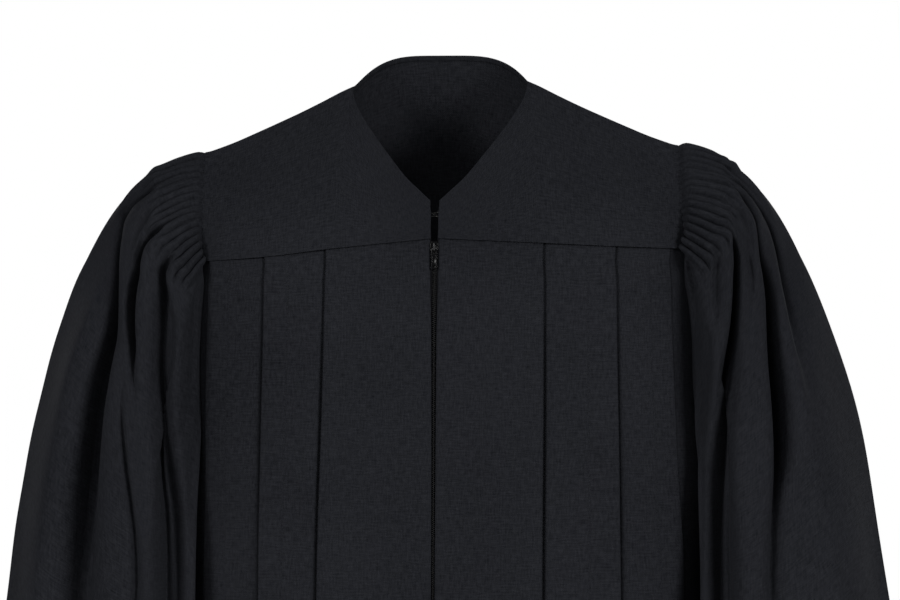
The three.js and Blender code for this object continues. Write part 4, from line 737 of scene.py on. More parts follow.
@dataclass
class Shell:
    """A closed wall of cloth from a grid of points on its outer face, rows down and columns across.

    Attributes:
        name: The piece's name.
        grid: The points, rows by columns by 3, in millimetres.
        thick: The wall's thickness at each point, in millimetres.
        closed: Whether the last column meets the first.
        turned: Whether the columns run the other way, so that the faces are turned.
        lift: How far each point is moved out first, in millimetres.
        rim_steps: How many rows of points round its turned edges.
    """

    name: str
    grid: np.ndarray
    thick: Numbers = CLOTH
    closed: bool = False
    turned: bool = False
    lift: Numbers = 0
    rim_steps: int = 3

    def __post_init__(self) -> None:
        """Moves the points out by the lift."""
        lift = np.broadcast_to(self.lift, self.grid.shape[:2])[..., None]
        self.grid = self.grid + self.outward() * lift

    def outward(self) -> np.ndarray:
        """The direction out of the cloth's face at each point."""
        way = unit(np.cross(tangents(self.grid, 0), tangents(self.grid, 1, self.closed)))
        return -way if self.turned else way

    def across_cut(self) -> np.ndarray:
        """The columns' places across the flat cut, in millimetres, with the first again if it is closed."""
        grid = np.concatenate([self.grid, self.grid[:, :1]], axis=1) if self.closed else self.grid
        return np.concatenate([[0], np.cumsum(np.linalg.norm(np.diff(grid, axis=1), axis=-1).mean(axis=0))])

    def down_cut(self) -> np.ndarray:
        """The rows' places down the flat cut, in millimetres."""
        steps = np.linalg.norm(np.diff(self.grid, axis=0), axis=-1).mean(axis=1)
        return np.concatenate([[0], np.cumsum(steps)])

    def cut(self) -> tuple[float, float, float]:
        """The flat cut's greatest width and length, in metres, and its area, in square metres."""
        grid = np.concatenate([self.grid, self.grid[:, :1]], axis=1) if self.closed else self.grid
        width = np.linalg.norm(np.diff(grid, axis=1), axis=-1).sum(axis=1).max()
        length = np.linalg.norm(np.diff(grid, axis=0), axis=-1).sum(axis=0).max()
        one, other = grid[1:, 1:] - grid[:-1, :-1], grid[1:, :-1] - grid[:-1, 1:]
        area = np.linalg.norm(np.cross(one, other), axis=-1).sum() / 2
        return width * MM, length * MM, area * MM * MM

    def border(self) -> tuple[list[np.ndarray], list[np.ndarray]]:
        """The border's loops, as indices of points, and the ways that they look, out of the cloth."""
        rows, columns = self.grid.shape[:2]
        index = np.arange(rows * columns).reshape(rows, columns)
        down = tangents(self.grid, 0)
        if self.closed:
            return [index[0][::-1], index[-1]], [-down[0][::-1], down[-1]]
        across = tangents(self.grid, 1)
        loop = np.concatenate([index[-1, :-1], index[:0:-1, -1], index[0, :0:-1], index[:-1, 0]])
        out = np.zeros_like(self.grid)
        out[0] -= down[0]
        out[-1] += down[-1]
        out[:, 0] -= across[:, 0]
        out[:, -1] += across[:, -1]
        return [loop], [unit(out.reshape(-1, 3)[loop])]

    def build(self) -> bpy.types.Object:
        """Makes the mesh, with a map of the flat cut in metres.

        Returns:
            The piece, at the origin.
        """
        rows, columns = self.grid.shape[:2]
        thick = np.broadcast_to(self.thick, (rows, columns))[..., None]
        outer = self.grid.reshape(-1, 3)
        inner = (self.grid - self.outward() * thick).reshape(-1, 3)
        count = rows * columns
        index = np.arange(count).reshape(rows, columns)
        if self.closed:
            index = np.concatenate([index, index[:, :1]], axis=1)
        flat = np.stack(np.meshgrid(self.across_cut(), -self.down_cut()), axis=-1) * MM

        def quads_of(grid: np.ndarray) -> np.ndarray:
            """The four corners of each cell of a grid, in turn."""
            cells = np.stack([grid[:-1, :-1], grid[1:, :-1], grid[1:, 1:], grid[:-1, 1:]], axis=2)
            return cells.reshape(-1, 4, *grid.shape[2:])

        quads, corners = quads_of(index), quads_of(flat)
        vertices, faces, maps = [outer, inner], [quads, quads[:, ::-1] + count], [corners, corners[:, ::-1]]
        places = flat[:, :columns].reshape(-1, 2)
        for loop, ways in zip(*self.border()):
            base = sum(len(part) for part in vertices)
            middle, arm = (outer[loop] + inner[loop]) / 2, (outer[loop] - inner[loop]) / 2
            bulge = ways * np.linalg.norm(arm, axis=-1, keepdims=True)
            rings = [loop]
            for step in range(self.rim_steps):
                angle = math.pi * (step + 1) / (self.rim_steps + 1)
                vertices.append(middle + arm * math.cos(angle) + bulge * math.sin(angle))
                rings.append(base + step * len(loop) + np.arange(len(loop)))
            rings.append(loop + count)
            here, there = places[loop], places[np.roll(loop, -1)]
            there = np.where(np.abs(there - here) > 0.05, here, there)
            for near, far in zip(rings, rings[1:]):
                faces.append(np.stack([near, far, np.roll(far, -1), np.roll(near, -1)], axis=-1))
                maps.append(np.stack([here, here, there, there], axis=1))
        if self.turned:
            faces, maps = [face[:, ::-1] for face in faces], [part[:, ::-1] for part in maps]
        return new_mesh(self.name, np.concatenate(vertices) * MM, np.concatenate(faces), np.concatenate(maps))


def new_mesh(name: str, vertices: np.ndarray, faces: np.ndarray,
             flat: np.ndarray | None = None) -> bpy.types.Object:
    """Makes a smooth mesh object from arrays.

    Args:
        name: The object's name.
        vertices: The points, in metres.
        faces: The faces' corners, all with the same number.
        flat: A place on the cut for each corner of each face.

    Returns:
        The object, linked to the scene.
    """
    mesh = bpy.data.meshes.new(name)
    sides = faces.shape[1]
    mesh.vertices.add(len(vertices))
    mesh.vertices.foreach_set("co", np.ascontiguousarray(vertices, np.float32).ravel())
    mesh.loops.add(faces.size)
    mesh.loops.foreach_set("vertex_index", np.ascontiguousarray(faces, np.int32).ravel())
    mesh.polygons.add(len(faces))
    mesh.polygons.foreach_set("loop_start", np.arange(0, faces.size, sides, dtype=np.int32))
    if flat is not None:
        layer = mesh.uv_layers.new(name="Cut")
        layer.data.foreach_set("uv", np.ascontiguousarray(flat, np.float32).ravel())
    mesh.update(calc_edges=True)
    mesh.validate()
    mesh.shade_smooth()
    made = bpy.data.objects.new(name, mesh)
    bpy.context.scene.collection.objects.link(made)
    return made


def near_edges(count: int, low: float = 0.0, high: float = 1.0, edge: float = 0.004) -> np.ndarray:
    """Even steps from low to high, with one more close to each end, so that the turned edge stays crisp."""
    even = np.linspace(low, high, count)
    room = edge * (high - low)
    return np.sort(np.concatenate([even, [low + room, high - room]]))


@dataclass
class Gown:
    """The gown's cloth: its sizes, the curves that it follows and the pieces cut for it."""

    yoke_rows: int = 46
    yoke_columns: int = 84
    panel_step: float = 9.0
    allowance: float = 5.0
    torso: dict[tuple[str, Face], Torso] = field(default_factory=dict)
    yokes: dict[str, Yoke] = field(default_factory=dict)

    def __post_init__(self) -> None:
        """Samples the curves."""
        for side in SIDES:
            for face in Face:
                self.torso[side.name, face] = Torso(side, face)
            front, back = self.torso[side.name, Face.FRONT], self.torso[side.name, Face.BACK]
            self.yokes[side.name] = Yoke(side, front, back)

    def front_face(self, drop: Numbers, x: float = 0.0) -> np.ndarray:
        """How far in front the centre front's cloth lies."""
        on_yoke = self.yokes["right"].chest_point(x, -np.minimum(drop, CENTRE_SEAM_DROP))[..., 1]
        below = self.torso["right", Face.FRONT].reach_at(np.maximum(drop, CENTRE_SEAM_DROP), x)
        return np.where(np.asarray(drop) < CENTRE_SEAM_DROP, on_yoke, below)

    def turned_edge(self, grid: np.ndarray, columns: np.ndarray, reach: float) -> np.ndarray:
        """The thickness of a piece whose top edge is turned in along some of its columns.

        Args:
            grid: The piece's points.
            columns: How far each column has the turned edge, 0 to 1.
            reach: The width of the turned edge.

        Returns:
            The thickness at each point.
        """
        gaps = np.linalg.norm(np.diff(grid, axis=0), axis=-1)
        fall = np.concatenate([np.zeros((1, grid.shape[1])), np.cumsum(gaps, axis=0)])
        return CLOTH + HEM_EXTRA * columns * (1 - smooth(fall, reach - 0.4, reach + 0.4))

    @staticmethod
    def seam_lift(grid: np.ndarray, at_seam: np.ndarray, height: float = 1.1,
                  reach: float = 6.0) -> np.ndarray:
        """How far a yoke's edge stands proud along its seams, over the allowances that are pressed under it.

        Args:
            grid: The yoke's points.
            at_seam: Which columns end at a seam at the top, too.
            height: The height at the seam.
            reach: How far in from the seam it has sunk.

        Returns:
            The height at each point.
        """
        falls = np.linalg.norm(np.diff(grid, axis=0), axis=-1)
        widths = np.linalg.norm(np.diff(grid, axis=1), axis=-1)
        from_foot = np.concatenate([np.cumsum(falls[::-1], axis=0)[::-1], np.zeros((1, grid.shape[1]))])
        to_end = np.cumsum(widths[:, ::-1], axis=1)[:, ::-1]
        from_end = np.concatenate([to_end, np.zeros((len(grid), 1))], axis=1)
        near = from_foot
        if at_seam[-1]:
            near = np.minimum(near, from_end)
        if at_seam[0]:
            near = np.minimum(near, from_end.max(axis=1, keepdims=True) - from_end)
        return height * (1 - smooth(near, 0, reach))

    def front_yoke(self, side: Side) -> Shell:
        """One front half of the yoke, with its neck edge turned in."""
        yoke = self.yokes[side.name]
        neck = near_edges(self.yoke_columns // 2, 0, NECK_SHARE, 0.008)
        across = np.concatenate([neck[:-1], near_edges(self.yoke_columns // 2, NECK_SHARE, 1)])
        down = np.union1d(near_edges(self.yoke_rows, edge=0.006), np.arange(0.012, 0.054, 0.005))
        grid = yoke.front_point(across[None, :], down[:, None])
        uneven = Undulation(3 if side is RIGHT else 4, 140, 30, 0.35)
        ease = smooth(down, 0, 0.1)[:, None] * smooth(1 - down, 0, 0.1)[:, None]
        grid[..., 1] -= uneven(grid[..., 0], grid[..., 2]) * ease
        thick = self.turned_edge(grid, (across <= NECK_SHARE).astype(float), 4.5)
        lift = self.seam_lift(grid, across >= NECK_SHARE)
        return Shell(f"yoke_front_{side.name}_cloth", grid, thick, turned=side.sign < 0, lift=lift)

    def back_yoke(self) -> Shell:
        """The back of the yoke, in one piece from armhole to armhole."""
        neck = np.linspace(0, NECK_SHARE, self.yoke_columns // 2)
        half = np.concatenate([neck[:-1], near_edges(self.yoke_columns // 2, NECK_SHARE, 1)])
        down = np.union1d(near_edges(self.yoke_rows, edge=0.006), np.arange(0.012, 0.054, 0.005))
        sides = [self.yokes[side.name].back_point(half[None, :], down[:, None]) for side in SIDES]
        grid = np.concatenate([sides[0][:, :0:-1], sides[1]], axis=1)
        across = np.concatenate([-half[:0:-1], half])
        uneven = Undulation(5, 150, 34, 0.4)
        ease = smooth(down, 0, 0.1)[:, None] * smooth(1 - down, 0, 0.1)[:, None]
        grid[..., 1] += uneven(grid[..., 0], grid[..., 2]) * ease
        thick = self.turned_edge(grid, (np.abs(across) <= NECK_SHARE).astype(float), 4.5)
        lift = self.seam_lift(grid, np.abs(across) >= NECK_SHARE)
        return Shell("yoke_back_cloth", grid, thick, turned=True, lift=lift)

    def panel_rows(self) -> tuple[np.ndarray, np.ndarray]:
        """The rows of a panel: how far each has come from the seam to the first level row, and its drop."""
        level = 190.0
        rise = np.array([0, 0.04, 0.15, 0.35, 0.6, 0.8])
        falling = np.arange(level, HEM_DROP - 3, self.panel_step)
        drops = np.concatenate([mix(SEAM_PLACE_DROP, level, rise), falling, [HEM_DROP - 1.5, HEM_DROP]])
        return np.concatenate([rise, np.ones(len(drops) - len(rise))]), drops

    def hem_thickness(self, drops: np.ndarray, width: float = 28.0) -> np.ndarray:
        """The thickness down a panel that ends in a turned hem."""
        return (CLOTH + HEM_EXTRA * smooth(drops, HEM_DROP - width - 1, HEM_DROP - width + 1))[:, None]

    def front_panel(self, side: Side) -> Shell:
        """One front with its knife pleats, from the yoke seam to the hem."""
        torso, yoke = self.torso[side.name, Face.FRONT], self.yokes[side.name]
        rise, drops = self.panel_rows()
        lines = PleatLines(side, torso, drops)
        distance, depth = lines.rounded()
        share = distance / torso.by_drop(torso.edge, drops)[:, None]
        level = torso.at(share, drops[:, None])
        seam = yoke.front_seam(level[..., 0]) + SEAM_GAP
        local = mix(seam, drops[:, None], rise[:, None])
        local[rise >= 1] = drops[rise >= 1, None]
        uneven = Undulation(11 if side is RIGHT else 12, 190, 42, 1.0)
        ease = smooth(drops, 170, 330)[:, None] * smooth(distance, 20, 60)
        groove = 1.3 * (1 - smooth(rise, 0.02, 0.16))[:, None]
        grid = torso.at(share, local, depth + groove + uneven(distance, drops[:, None]) * ease)
        under = grid[:1] + np.array([0, 2.0, self.allowance])
        grid = np.concatenate([under, grid])
        thick = np.concatenate([[[CLOTH]], self.hem_thickness(drops)])
        return Shell(f"front_{side.name}_cloth", grid, thick, turned=side.sign < 0)

    def back_panel(self) -> Shell:
        """The back, drawn up in flutes under the yoke and falling in folds."""
        rise, drops = self.panel_rows()
        fine = mix(-BACK_FLUTED_SHARE, BACK_FLUTED_SHARE, BACK_GATHERS.columns() / BACK_FLUTES)
        edge = near_edges(14, BACK_FLUTED_SHARE, 1, 0.02)[1:]
        shares = np.concatenate([-edge[::-1], fine, edge])
        count = (shares / BACK_FLUTED_SHARE + 1) * 0.5 * BACK_FLUTES
        way = np.broadcast_to((drops - SEAM_PLACE_DROP)[:, None], (len(drops), len(shares)))
        height = BACK_GATHERS.height(count, way)
        uneven = Undulation(13, 230, 44, 1.3)
        halves = []
        for side in SIDES:
            torso, yoke = self.torso[side.name, Face.BACK], self.yokes[side.name]
            out = np.abs(shares)
            length = torso.by_drop(torso.length, drops)[:, None]
            edge_way = torso.by_drop(torso.edge, drops)[:, None]
            inner = np.minimum(out, BACK_FLUTED_SHARE) * BACK_YOKE_SHARE * length
            outer = np.clip((out - BACK_FLUTED_SHARE) / (1 - BACK_FLUTED_SHARE), 0, 1)
            distance = mix(inner, edge_way, outer)
            place = distance / length
            folds = self.back_fold_depth(place * np.sign(shares), drops[:, None])
            ease = 1 - smooth(place, 0.93, 1)
            share = distance / edge_way
            seam = yoke.back_seam(torso.at(share, drops[:, None])[..., 0]) + SEAM_GAP
            local = mix(seam, drops[:, None], rise[:, None])
            local[rise >= 1] = drops[rise >= 1, None]
            grown = smooth(drops, 170, 330)[:, None]
            bumps = uneven(distance * np.sign(shares), drops[:, None]) * grown * ease
            halves.append(torso.at(share, local, folds * ease - height + bumps))
        grid = np.where((shares < 0)[None, :, None], halves[0], halves[1])
        under = grid[:1] + np.array([0, -2.0, self.allowance])
        grid = np.concatenate([under, grid])
        thick = np.concatenate([[[CLOTH]], self.hem_thickness(drops)])
        return Shell("back_cloth", grid, thick, turned=True)

    @staticmethod
    def back_fold_depth(place: np.ndarray, drop: np.ndarray) -> np.ndarray:
        """How deep the back's cloth lies in its folds."""
        total = np.zeros(np.broadcast_shapes(place.shape, drop.shape))
        for at, half, top, depth in BACK_FOLDS:
            grown = mix(smooth(drop, 600, HEM_DROP), smooth(drop, top, 760), 0.45)
            off = np.abs(place - at) / half
            total += depth * grown * (0.8 * np.exp(-off * off) + 0.2 * np.exp(-1.8 * off))
        return total

    def sleeve(self, side: Side) -> Shell:
        """One sleeve, fluted round its head and falling in folds to the open cuff."""
        return Sleeve(side, self.yokes[side.name]).shell(self.allowance)


@dataclass
class PleatLines:
    """The level lines of a front: stations along the cloth, with their corners rounded.

    Attributes:
        side: The gown's side.
        torso: The torso's front on that side.
        drops: The drop of each line.
    """

    side: Side
    torso: Torso
    drops: np.ndarray
    under: float = 26
    air: float = 1.2
    groove: float = 3.0
    hem_reach: float = 52
    hem_depth: float = 42
    hem_round: float = 10
    hem_shoulder: float = 5
    waist_drop: float = 514
    corner_samples: int = 5

    def stations(self) -> np.ndarray:
        """The corners of the pleated line at each drop.

        Returns:
            (distance from the centre, depth) for each drop and station.
        """
        drops, torso = self.drops, self.torso
        open_ = PLEAT_OPENING("open", drops)
        below = smooth(drops, self.waist_drop, HEM_DROP)
        folded = mix(2 * CLOTH + 0.8, 2 * CLOTH + 3.2, smooth(drops, 160, 330))
        to_waist = smooth(drops, SEAM_PLACE_DROP, self.waist_drop)
        length, edge = torso.by_drop(torso.length, drops), torso.by_drop(torso.edge, drops)
        folds = [mix(torso.distance_at_x(drops, mix(p.chest, p.waist, to_waist)), p.hem_share * length, below)
                 for p in self.side.pleats]
        back = mix(self.under, -self.hem_reach, open_)
        round_ = mix(0, self.hem_round, open_)
        start = FRONT_GAP("half", drops)
        zero = np.zeros_like(drops)
        stations = [(start, zero + 0.9), (start + 1.6, zero)]
        for i, fold in enumerate(folds):
            end = folds[i + 1] if i + 1 < len(folds) else edge
            valley = fold - back
            shallow = mix(folded, self.hem_depth, open_)
            deep = mix(folded + self.air, self.hem_depth, open_)
            stations += [(fold - round_, zero), (fold + round_, mix(folded, self.hem_shoulder, open_))]
            stations += [(valley - round_, shallow), (valley + round_, deep)]
            clear = np.maximum(fold, valley + round_)
            beside = mix(np.minimum(self.groove / np.maximum(end - clear, 1), 0.35), 0.12, open_)
            stations += [(mix(clear, end, 0.25 * beside), mix(deep, 0, 0.06 * open_)),
                         (mix(clear, end, beside), mix(deep, 0, mix(0.45, 0.14, open_))),
                         (mix(clear, end, 0.6), mix(deep, 0, 0.78))]
        stations.append((edge, zero))
        return np.array(stations).transpose(2, 0, 1)

    def rounded(self) -> tuple[np.ndarray, np.ndarray]:
        """Samples the lines densely, with a rounded fold at each corner.

        Returns:
            The distances from the centre and the depths, a row for each drop.
        """
        corner = self.stations()
        count = corner.shape[1]
        radius = mix(1.3, 26, PLEAT_OPENING("open", self.drops))[:, None]
        sides = np.diff(corner, axis=1)
        length = np.maximum(np.linalg.norm(sides, axis=-1), 1e-6)
        way = sides / length[..., None]
        bends = range(1, count - 1)
        lines, last = [], corner[:, 0]
        for k in bends:
            reach = np.minimum(radius, 0.48 * np.minimum(length[:, k - 1], length[:, k])[:, None])
            enter, leave = corner[:, k] - way[:, k - 1] * reach, corner[:, k] + way[:, k] * reach
            straight = int(np.clip(length[len(length) // 3, k - 1] / 4.5, 2, 24))
            lines += [mix(last, enter, s) for s in np.linspace(0, 1, straight, endpoint=False)]
            for t in np.linspace(0, 1, self.corner_samples, endpoint=False):
                lines.append(mix(mix(enter, corner[:, k], t), mix(corner[:, k], leave, t), t))
            last = leave
        lines += [mix(last, corner[:, -1], s) for s in (0, 0.25, 0.5, 0.75, 0.97, 1)]
        dense = np.stack(lines, axis=1)
        return dense[..., 0], dense[..., 1]


@dataclass
class Sleeve:
    """A bell sleeve: lines from the armhole to the cuff, flutes at its head and long folds below.

    Attributes:
        side: The gown's side.
        yoke: The yoke that the sleeve is sewn to.
    """

    side: Side
    yoke: Yoke
    steep_side: float = 0.66
    fall_off: float = 1.1
    fall_power: float = 1.5
    cut_width: float = 1250
    cut_length: float = 700

    def base(self, w: np.ndarray, along: np.ndarray) -> np.ndarray:
        """The sleeve without its flutes and folds.

        Args:
            w: Places round the armhole.
            along: Shares of the way to the cuff.

        Returns:
            The points.
        """
        side = self.side
        on_front = w <= SHOULDER_W
        up = np.where(on_front, w, 1 - w)
        line = {name: SLEEVE_LINES(name, up) for name in SLEEVE_LINES.columns}
        start = self.yoke.armhole_point(w) + self.yoke.across_armhole(w) * SEAM_GAP
        forward = np.where(on_front, -1, 1)
        inwards = line["lap"] * side.sleeve_lap / 60
        leaving = unit(points(side.sign * (line["out"] - inwards), forward * line["forward"], -line["down"]))
        leave = start + leaving * line["reach"][..., None]
        cuffs = SLEEVE_LINES.columns["cuff_out"]
        outer = smooth(line["cuff_out"], cuffs[0], cuffs[-1])
        out = line["cuff_out"] + mix(side.wider, side.cuff_wider, outer) - side.sleeve_lap * line["lap"]
        end = points(side.sign * out, line["cuff_forward"] * np.where(on_front, -1, CUFF_BACK), -CUFF_DROP)
        hanging = points(-side.sign * line["lean"], 0, 1)
        arrive = end + hanging * mix(*CUFF_RISE, outer)[..., None]
        place = bezier(start, leave, arrive, end, along)
        bulge = BULGE * line["lap"] * SLEEVE_BULGE("share", along)
        tuck = TUCK("back", up) * TUCK_GROWTH("share", along)
        return place + on_front[..., None] * points(-side.sign * bulge, tuck, 0)

    def drift(self, start: np.ndarray, along: np.ndarray) -> np.ndarray:
        """Where the lines of the cloth lie on their way down, carried sideways by the folds.

        Args:
            start: The lines' places on the armhole.
            along: The rows' shares of the way to the cuff.

        Returns:
            The places, a row for each share.
        """
        front, back = self.side.front_folds, self.side.back_folds[::-1]
        from_ = [0, *(f.start for f in front), SHOULDER_W, *(1 - f.start for f in back), 1]
        return np.array([
            np.interp(start, from_, [0, *(float(f.shape("w", a)) for f in front), SHOULDER_W,
                                     *(1 - float(f.shape("w", a)) for f in back), 1])
            for a in along
        ])

    def fold_depth(self, w: np.ndarray, along: np.ndarray) -> np.ndarray:
        """How deep the cloth lies in its folds: a valley is steep towards the body and soft away from it."""
        total = np.zeros(w.shape)
        for folds, up, here in (
            (self.side.front_folds + self.side.creases, w, w <= SHOULDER_W),
            (self.side.back_folds, 1 - w, w > SHOULDER_W),
        ):
            for fold in folds:
                valley, half, depth = (fold.shape(name, along)[:, None] for name in ("w", "half", "depth"))
                off = np.abs(up - valley) / np.where(up < valley, half * self.steep_side, half)
                total += here * depth * np.exp(-self.fall_off * off**self.fall_power)
        return total

    def shell(self, allowance: float) -> Shell:
        """Builds the sleeve's wall.

        Args:
            allowance: How far the seam allowance reaches under the yoke.

        Returns:
            The wall.
        """
        side = self.side
        low = np.linspace(0, YOKE_CORNER_W, 64)[:-1]
        flutes = YOKE_CORNER_W + self.side.gathers.columns() / SLEEVE_FLUTES * (1 - 2 * YOKE_CORNER_W)
        start = np.concatenate([low, flutes, 1 - low[:0:-1]])
        head = np.linspace(0.006, 0.25, 46)
        along = np.concatenate([[0, 0.0012], head, np.linspace(0.26, 0.998, 60), [1]])
        w = self.drift(start, along)
        base = self.base(w, np.broadcast_to(along[:, None], w.shape))
        wrapped = np.concatenate([base[:, -1:], base, base[:, :1]], axis=1)
        sideways = (wrapped[:, 2:] - wrapped[:, :-2]) / 2
        normal = unit(np.cross(sideways, np.gradient(base, axis=0))) * -side.sign
        across = self.yoke.across_armhole(start)[None]
        near = (1 - smooth(along, 0, 0.05))[:, None, None]
        normal = unit(normal - across * (normal * across).sum(axis=-1, keepdims=True) * near)
        count = (start - YOKE_CORNER_W) / (1 - 2 * YOKE_CORNER_W) * SLEEVE_FLUTES
        gaps = np.linalg.norm(np.diff(base, axis=0), axis=-1)
        way = np.concatenate([np.zeros((1, len(start))), np.cumsum(gaps, axis=0)])
        height = side.gathers.height(count, way)
        puffed = smooth(np.minimum(start, 1 - start), YOKE_CORNER_W - 0.08, YOKE_CORNER_W + 0.06)
        height = height + HEAD_PUFF("puff", along)[:, None] * puffed
        uneven = Undulation(17 if side is RIGHT else 18, 170, 36, 1.0)
        bumps = uneven(start[None, :] * self.cut_width, along[:, None] * self.cut_length)
        bumps = bumps * smooth(along, 0.14, 0.3)[:, None]
        inwards = unit(normal * 0.4 + points(0, np.where(w <= SHOULDER_W, -0.6, 0.6), 0))
        grid = base + normal * (height + bumps)[..., None] - inwards * self.fold_depth(w, along)[..., None]
        under = grid[:1] - across * allowance - normal[:1] * 1.6
        grid = np.concatenate([under, grid])
        thick = CLOTH + HEM_EXTRA * smooth(np.concatenate([[0], along]), 0.955, 0.96)[:, None]
        return Shell(f"sleeve_{side.name}_cloth", grid, thick, closed=True, turned=side.sign < 0)


# Finishes

def linear(colour: str) -> tuple[float, float, float, float]:
    """Turns an sRGB hex colour to linear red, green, blue and alpha."""
    parts = (int(colour[i:i + 2], 16) / 255 for i in (1, 3, 5))
    return (*(c / 12.92 if c <= 0.04045 else ((c + 0.055) / 1.055) ** 2.4 for c in parts), 1.0)


def add_node(tree: bpy.types.NodeTree, kind: str, inputs: dict | None = None,
             **settings: object) -> bpy.types.Node:
    """Adds a node with its settings, and fills its inputs.

    Args:
        tree: The tree that it goes into.
        kind: Its type, without the prefix that shader nodes share.
        inputs: A value or another node's output for each input, by name or number.
        settings: Its own properties.

    Returns:
        The node.
    """
    node = tree.nodes.new("ShaderNode" + kind)
    for name, value in settings.items():
        setattr(node, name, value)
    for key, value in (inputs or {}).items():
        if isinstance(value, bpy.types.NodeSocket):
            tree.links.new(value, node.inputs[key])
        else:
            node.inputs[key].default_value = value
    return node


def blank_material(name: str) -> tuple[bpy.types.Material, bpy.types.NodeTree, bpy.types.Node]:
    """Makes a material that holds only its shader.

    Args:
        name: The material's name.

    Returns:
        The material, its tree and its shader.
    """
    material = bpy.data.materials.new(name)
    material.use_nodes = True
    tree = material.node_tree
    return material, tree, tree.nodes["Principled BSDF"]


@dataclass(frozen=True)
class WovenCloth:
    """Plain-woven cloth of dull polyester yarn, which gives a matte face with a soft bloom at a slant.

    Attributes:
        name: The material's name.
        dark: The darker of the yarn's two shades.
        light: The lighter one.
        pitch: The distance from thread to thread, in millimetres. The real 0.4 is drawn coarser, to show.
        relief: The height of the weave, in millimetres.
        roughness: How matte the yarn is.
        bloom: The weight of the fibres' sheen.
        slub: The length of the thicker stretches of yarn, in millimetres.
    """

    name: str
    dark: str
    light: str
    pitch: float
    relief: float
    roughness: float
    bloom: float
    slub: float = 9.0

    def material(self) -> bpy.types.Material:
        """Builds the material on the map of the flat cut."""
        material, tree, shader = blank_material(self.name)
        cut = add_node(tree, "UVMap", uv_map="Cut")
        split = add_node(tree, "SeparateXYZ", {0: cut.outputs["UV"]})
        waves = []
        for axis in ("X", "Y"):
            turns = add_node(tree, "Math", {0: split.outputs[axis], 1: math.tau / (2 * self.pitch * MM)},
                             operation="MULTIPLY")
            waves.append(add_node(tree, "Math", {0: turns.outputs[0]}, operation="SINE").outputs[0])
        weave = add_node(tree, "Math", {0: waves[0], 1: waves[1]}, operation="MULTIPLY")
        lengthwise = add_node(tree, "Mapping", {"Vector": cut.outputs["UV"], "Scale": (6, 1, 1)})
        slubs = add_node(tree, "TexNoise", {"Vector": lengthwise.outputs[0], "Scale": 1 / (self.slub * MM),
                                            "Detail": 3.0, "Roughness": 0.6})
        crosswise = add_node(tree, "Mapping", {"Vector": cut.outputs["UV"], "Scale": (1, 6, 1)})
        wefts = add_node(tree, "TexNoise", {"Vector": crosswise.outputs[0], "Scale": 1 / (self.slub * MM),
                                            "Detail": 3.0, "Roughness": 0.6})
        yarn = add_node(tree, "Math", {0: slubs.outputs["Fac"], 1: wefts.outputs["Fac"]}, operation="ADD")
        height = add_node(tree, "Math", {0: weave.outputs[0], 1: 0.35, 2: yarn.outputs[0]},
                          operation="MULTIPLY_ADD")
        bump = add_node(tree, "Bump", {"Height": height.outputs[0], "Distance": self.relief * MM,
                                       "Strength": 1.0})
        place = add_node(tree, "TexCoord")
        patches = add_node(tree, "TexNoise", {"Vector": place.outputs["Object"], "Scale": 7.0, "Detail": 4.0})
        shade = add_node(tree, "Math", {0: patches.outputs["Fac"], 1: 0.5, 2: -0.85},
                         operation="MULTIPLY_ADD")
        tone = add_node(tree, "Math", {0: yarn.outputs[0], 1: 1.1, 2: shade.outputs[0]},
                        operation="MULTIPLY_ADD", use_clamp=True)
        colour = add_node(tree, "Mix", {0: tone.outputs[0], 6: linear(self.dark), 7: linear(self.light)},
                          data_type="RGBA")
        tree.links.new(colour.outputs[2], shader.inputs["Base Color"])
        tree.links.new(bump.outputs[0], shader.inputs["Normal"])
        shader.inputs["Roughness"].default_value = self.roughness
        shader.inputs["Sheen Weight"].default_value = self.bloom
        shader.inputs["Sheen Roughness"].default_value = 0.5
        shader.inputs["Sheen Tint"].default_value = linear("#C8CCD8")
        shader.inputs["Specular IOR Level"].default_value = 0.015
        return material


@dataclass(frozen=True)
class MouldedNylon:
    """Dyed nylon filament: smooth, with a low soft shine and a faint mottle from the dye."""

    name: str
    colour: str
    roughness: float
    shine: float = 0.2

    def material(self) -> bpy.types.Material:
        """Builds the material."""
        material, tree, shader = blank_material(self.name)
        place = add_node(tree, "TexCoord")
        mottle = add_node(tree, "TexNoise", {"Vector": place.outputs["Object"], "Scale": 900.0,
                                             "Detail": 3.0})
        rough = add_node(tree, "MapRange", {"Value": mottle.outputs["Fac"], "To Min": self.roughness - 0.08,
                                            "To Max": self.roughness + 0.1})
        tree.links.new(rough.outputs[0], shader.inputs["Roughness"])
        shader.inputs["Base Color"].default_value = linear(self.colour)
        shader.inputs["Specular IOR Level"].default_value = self.shine
        return material


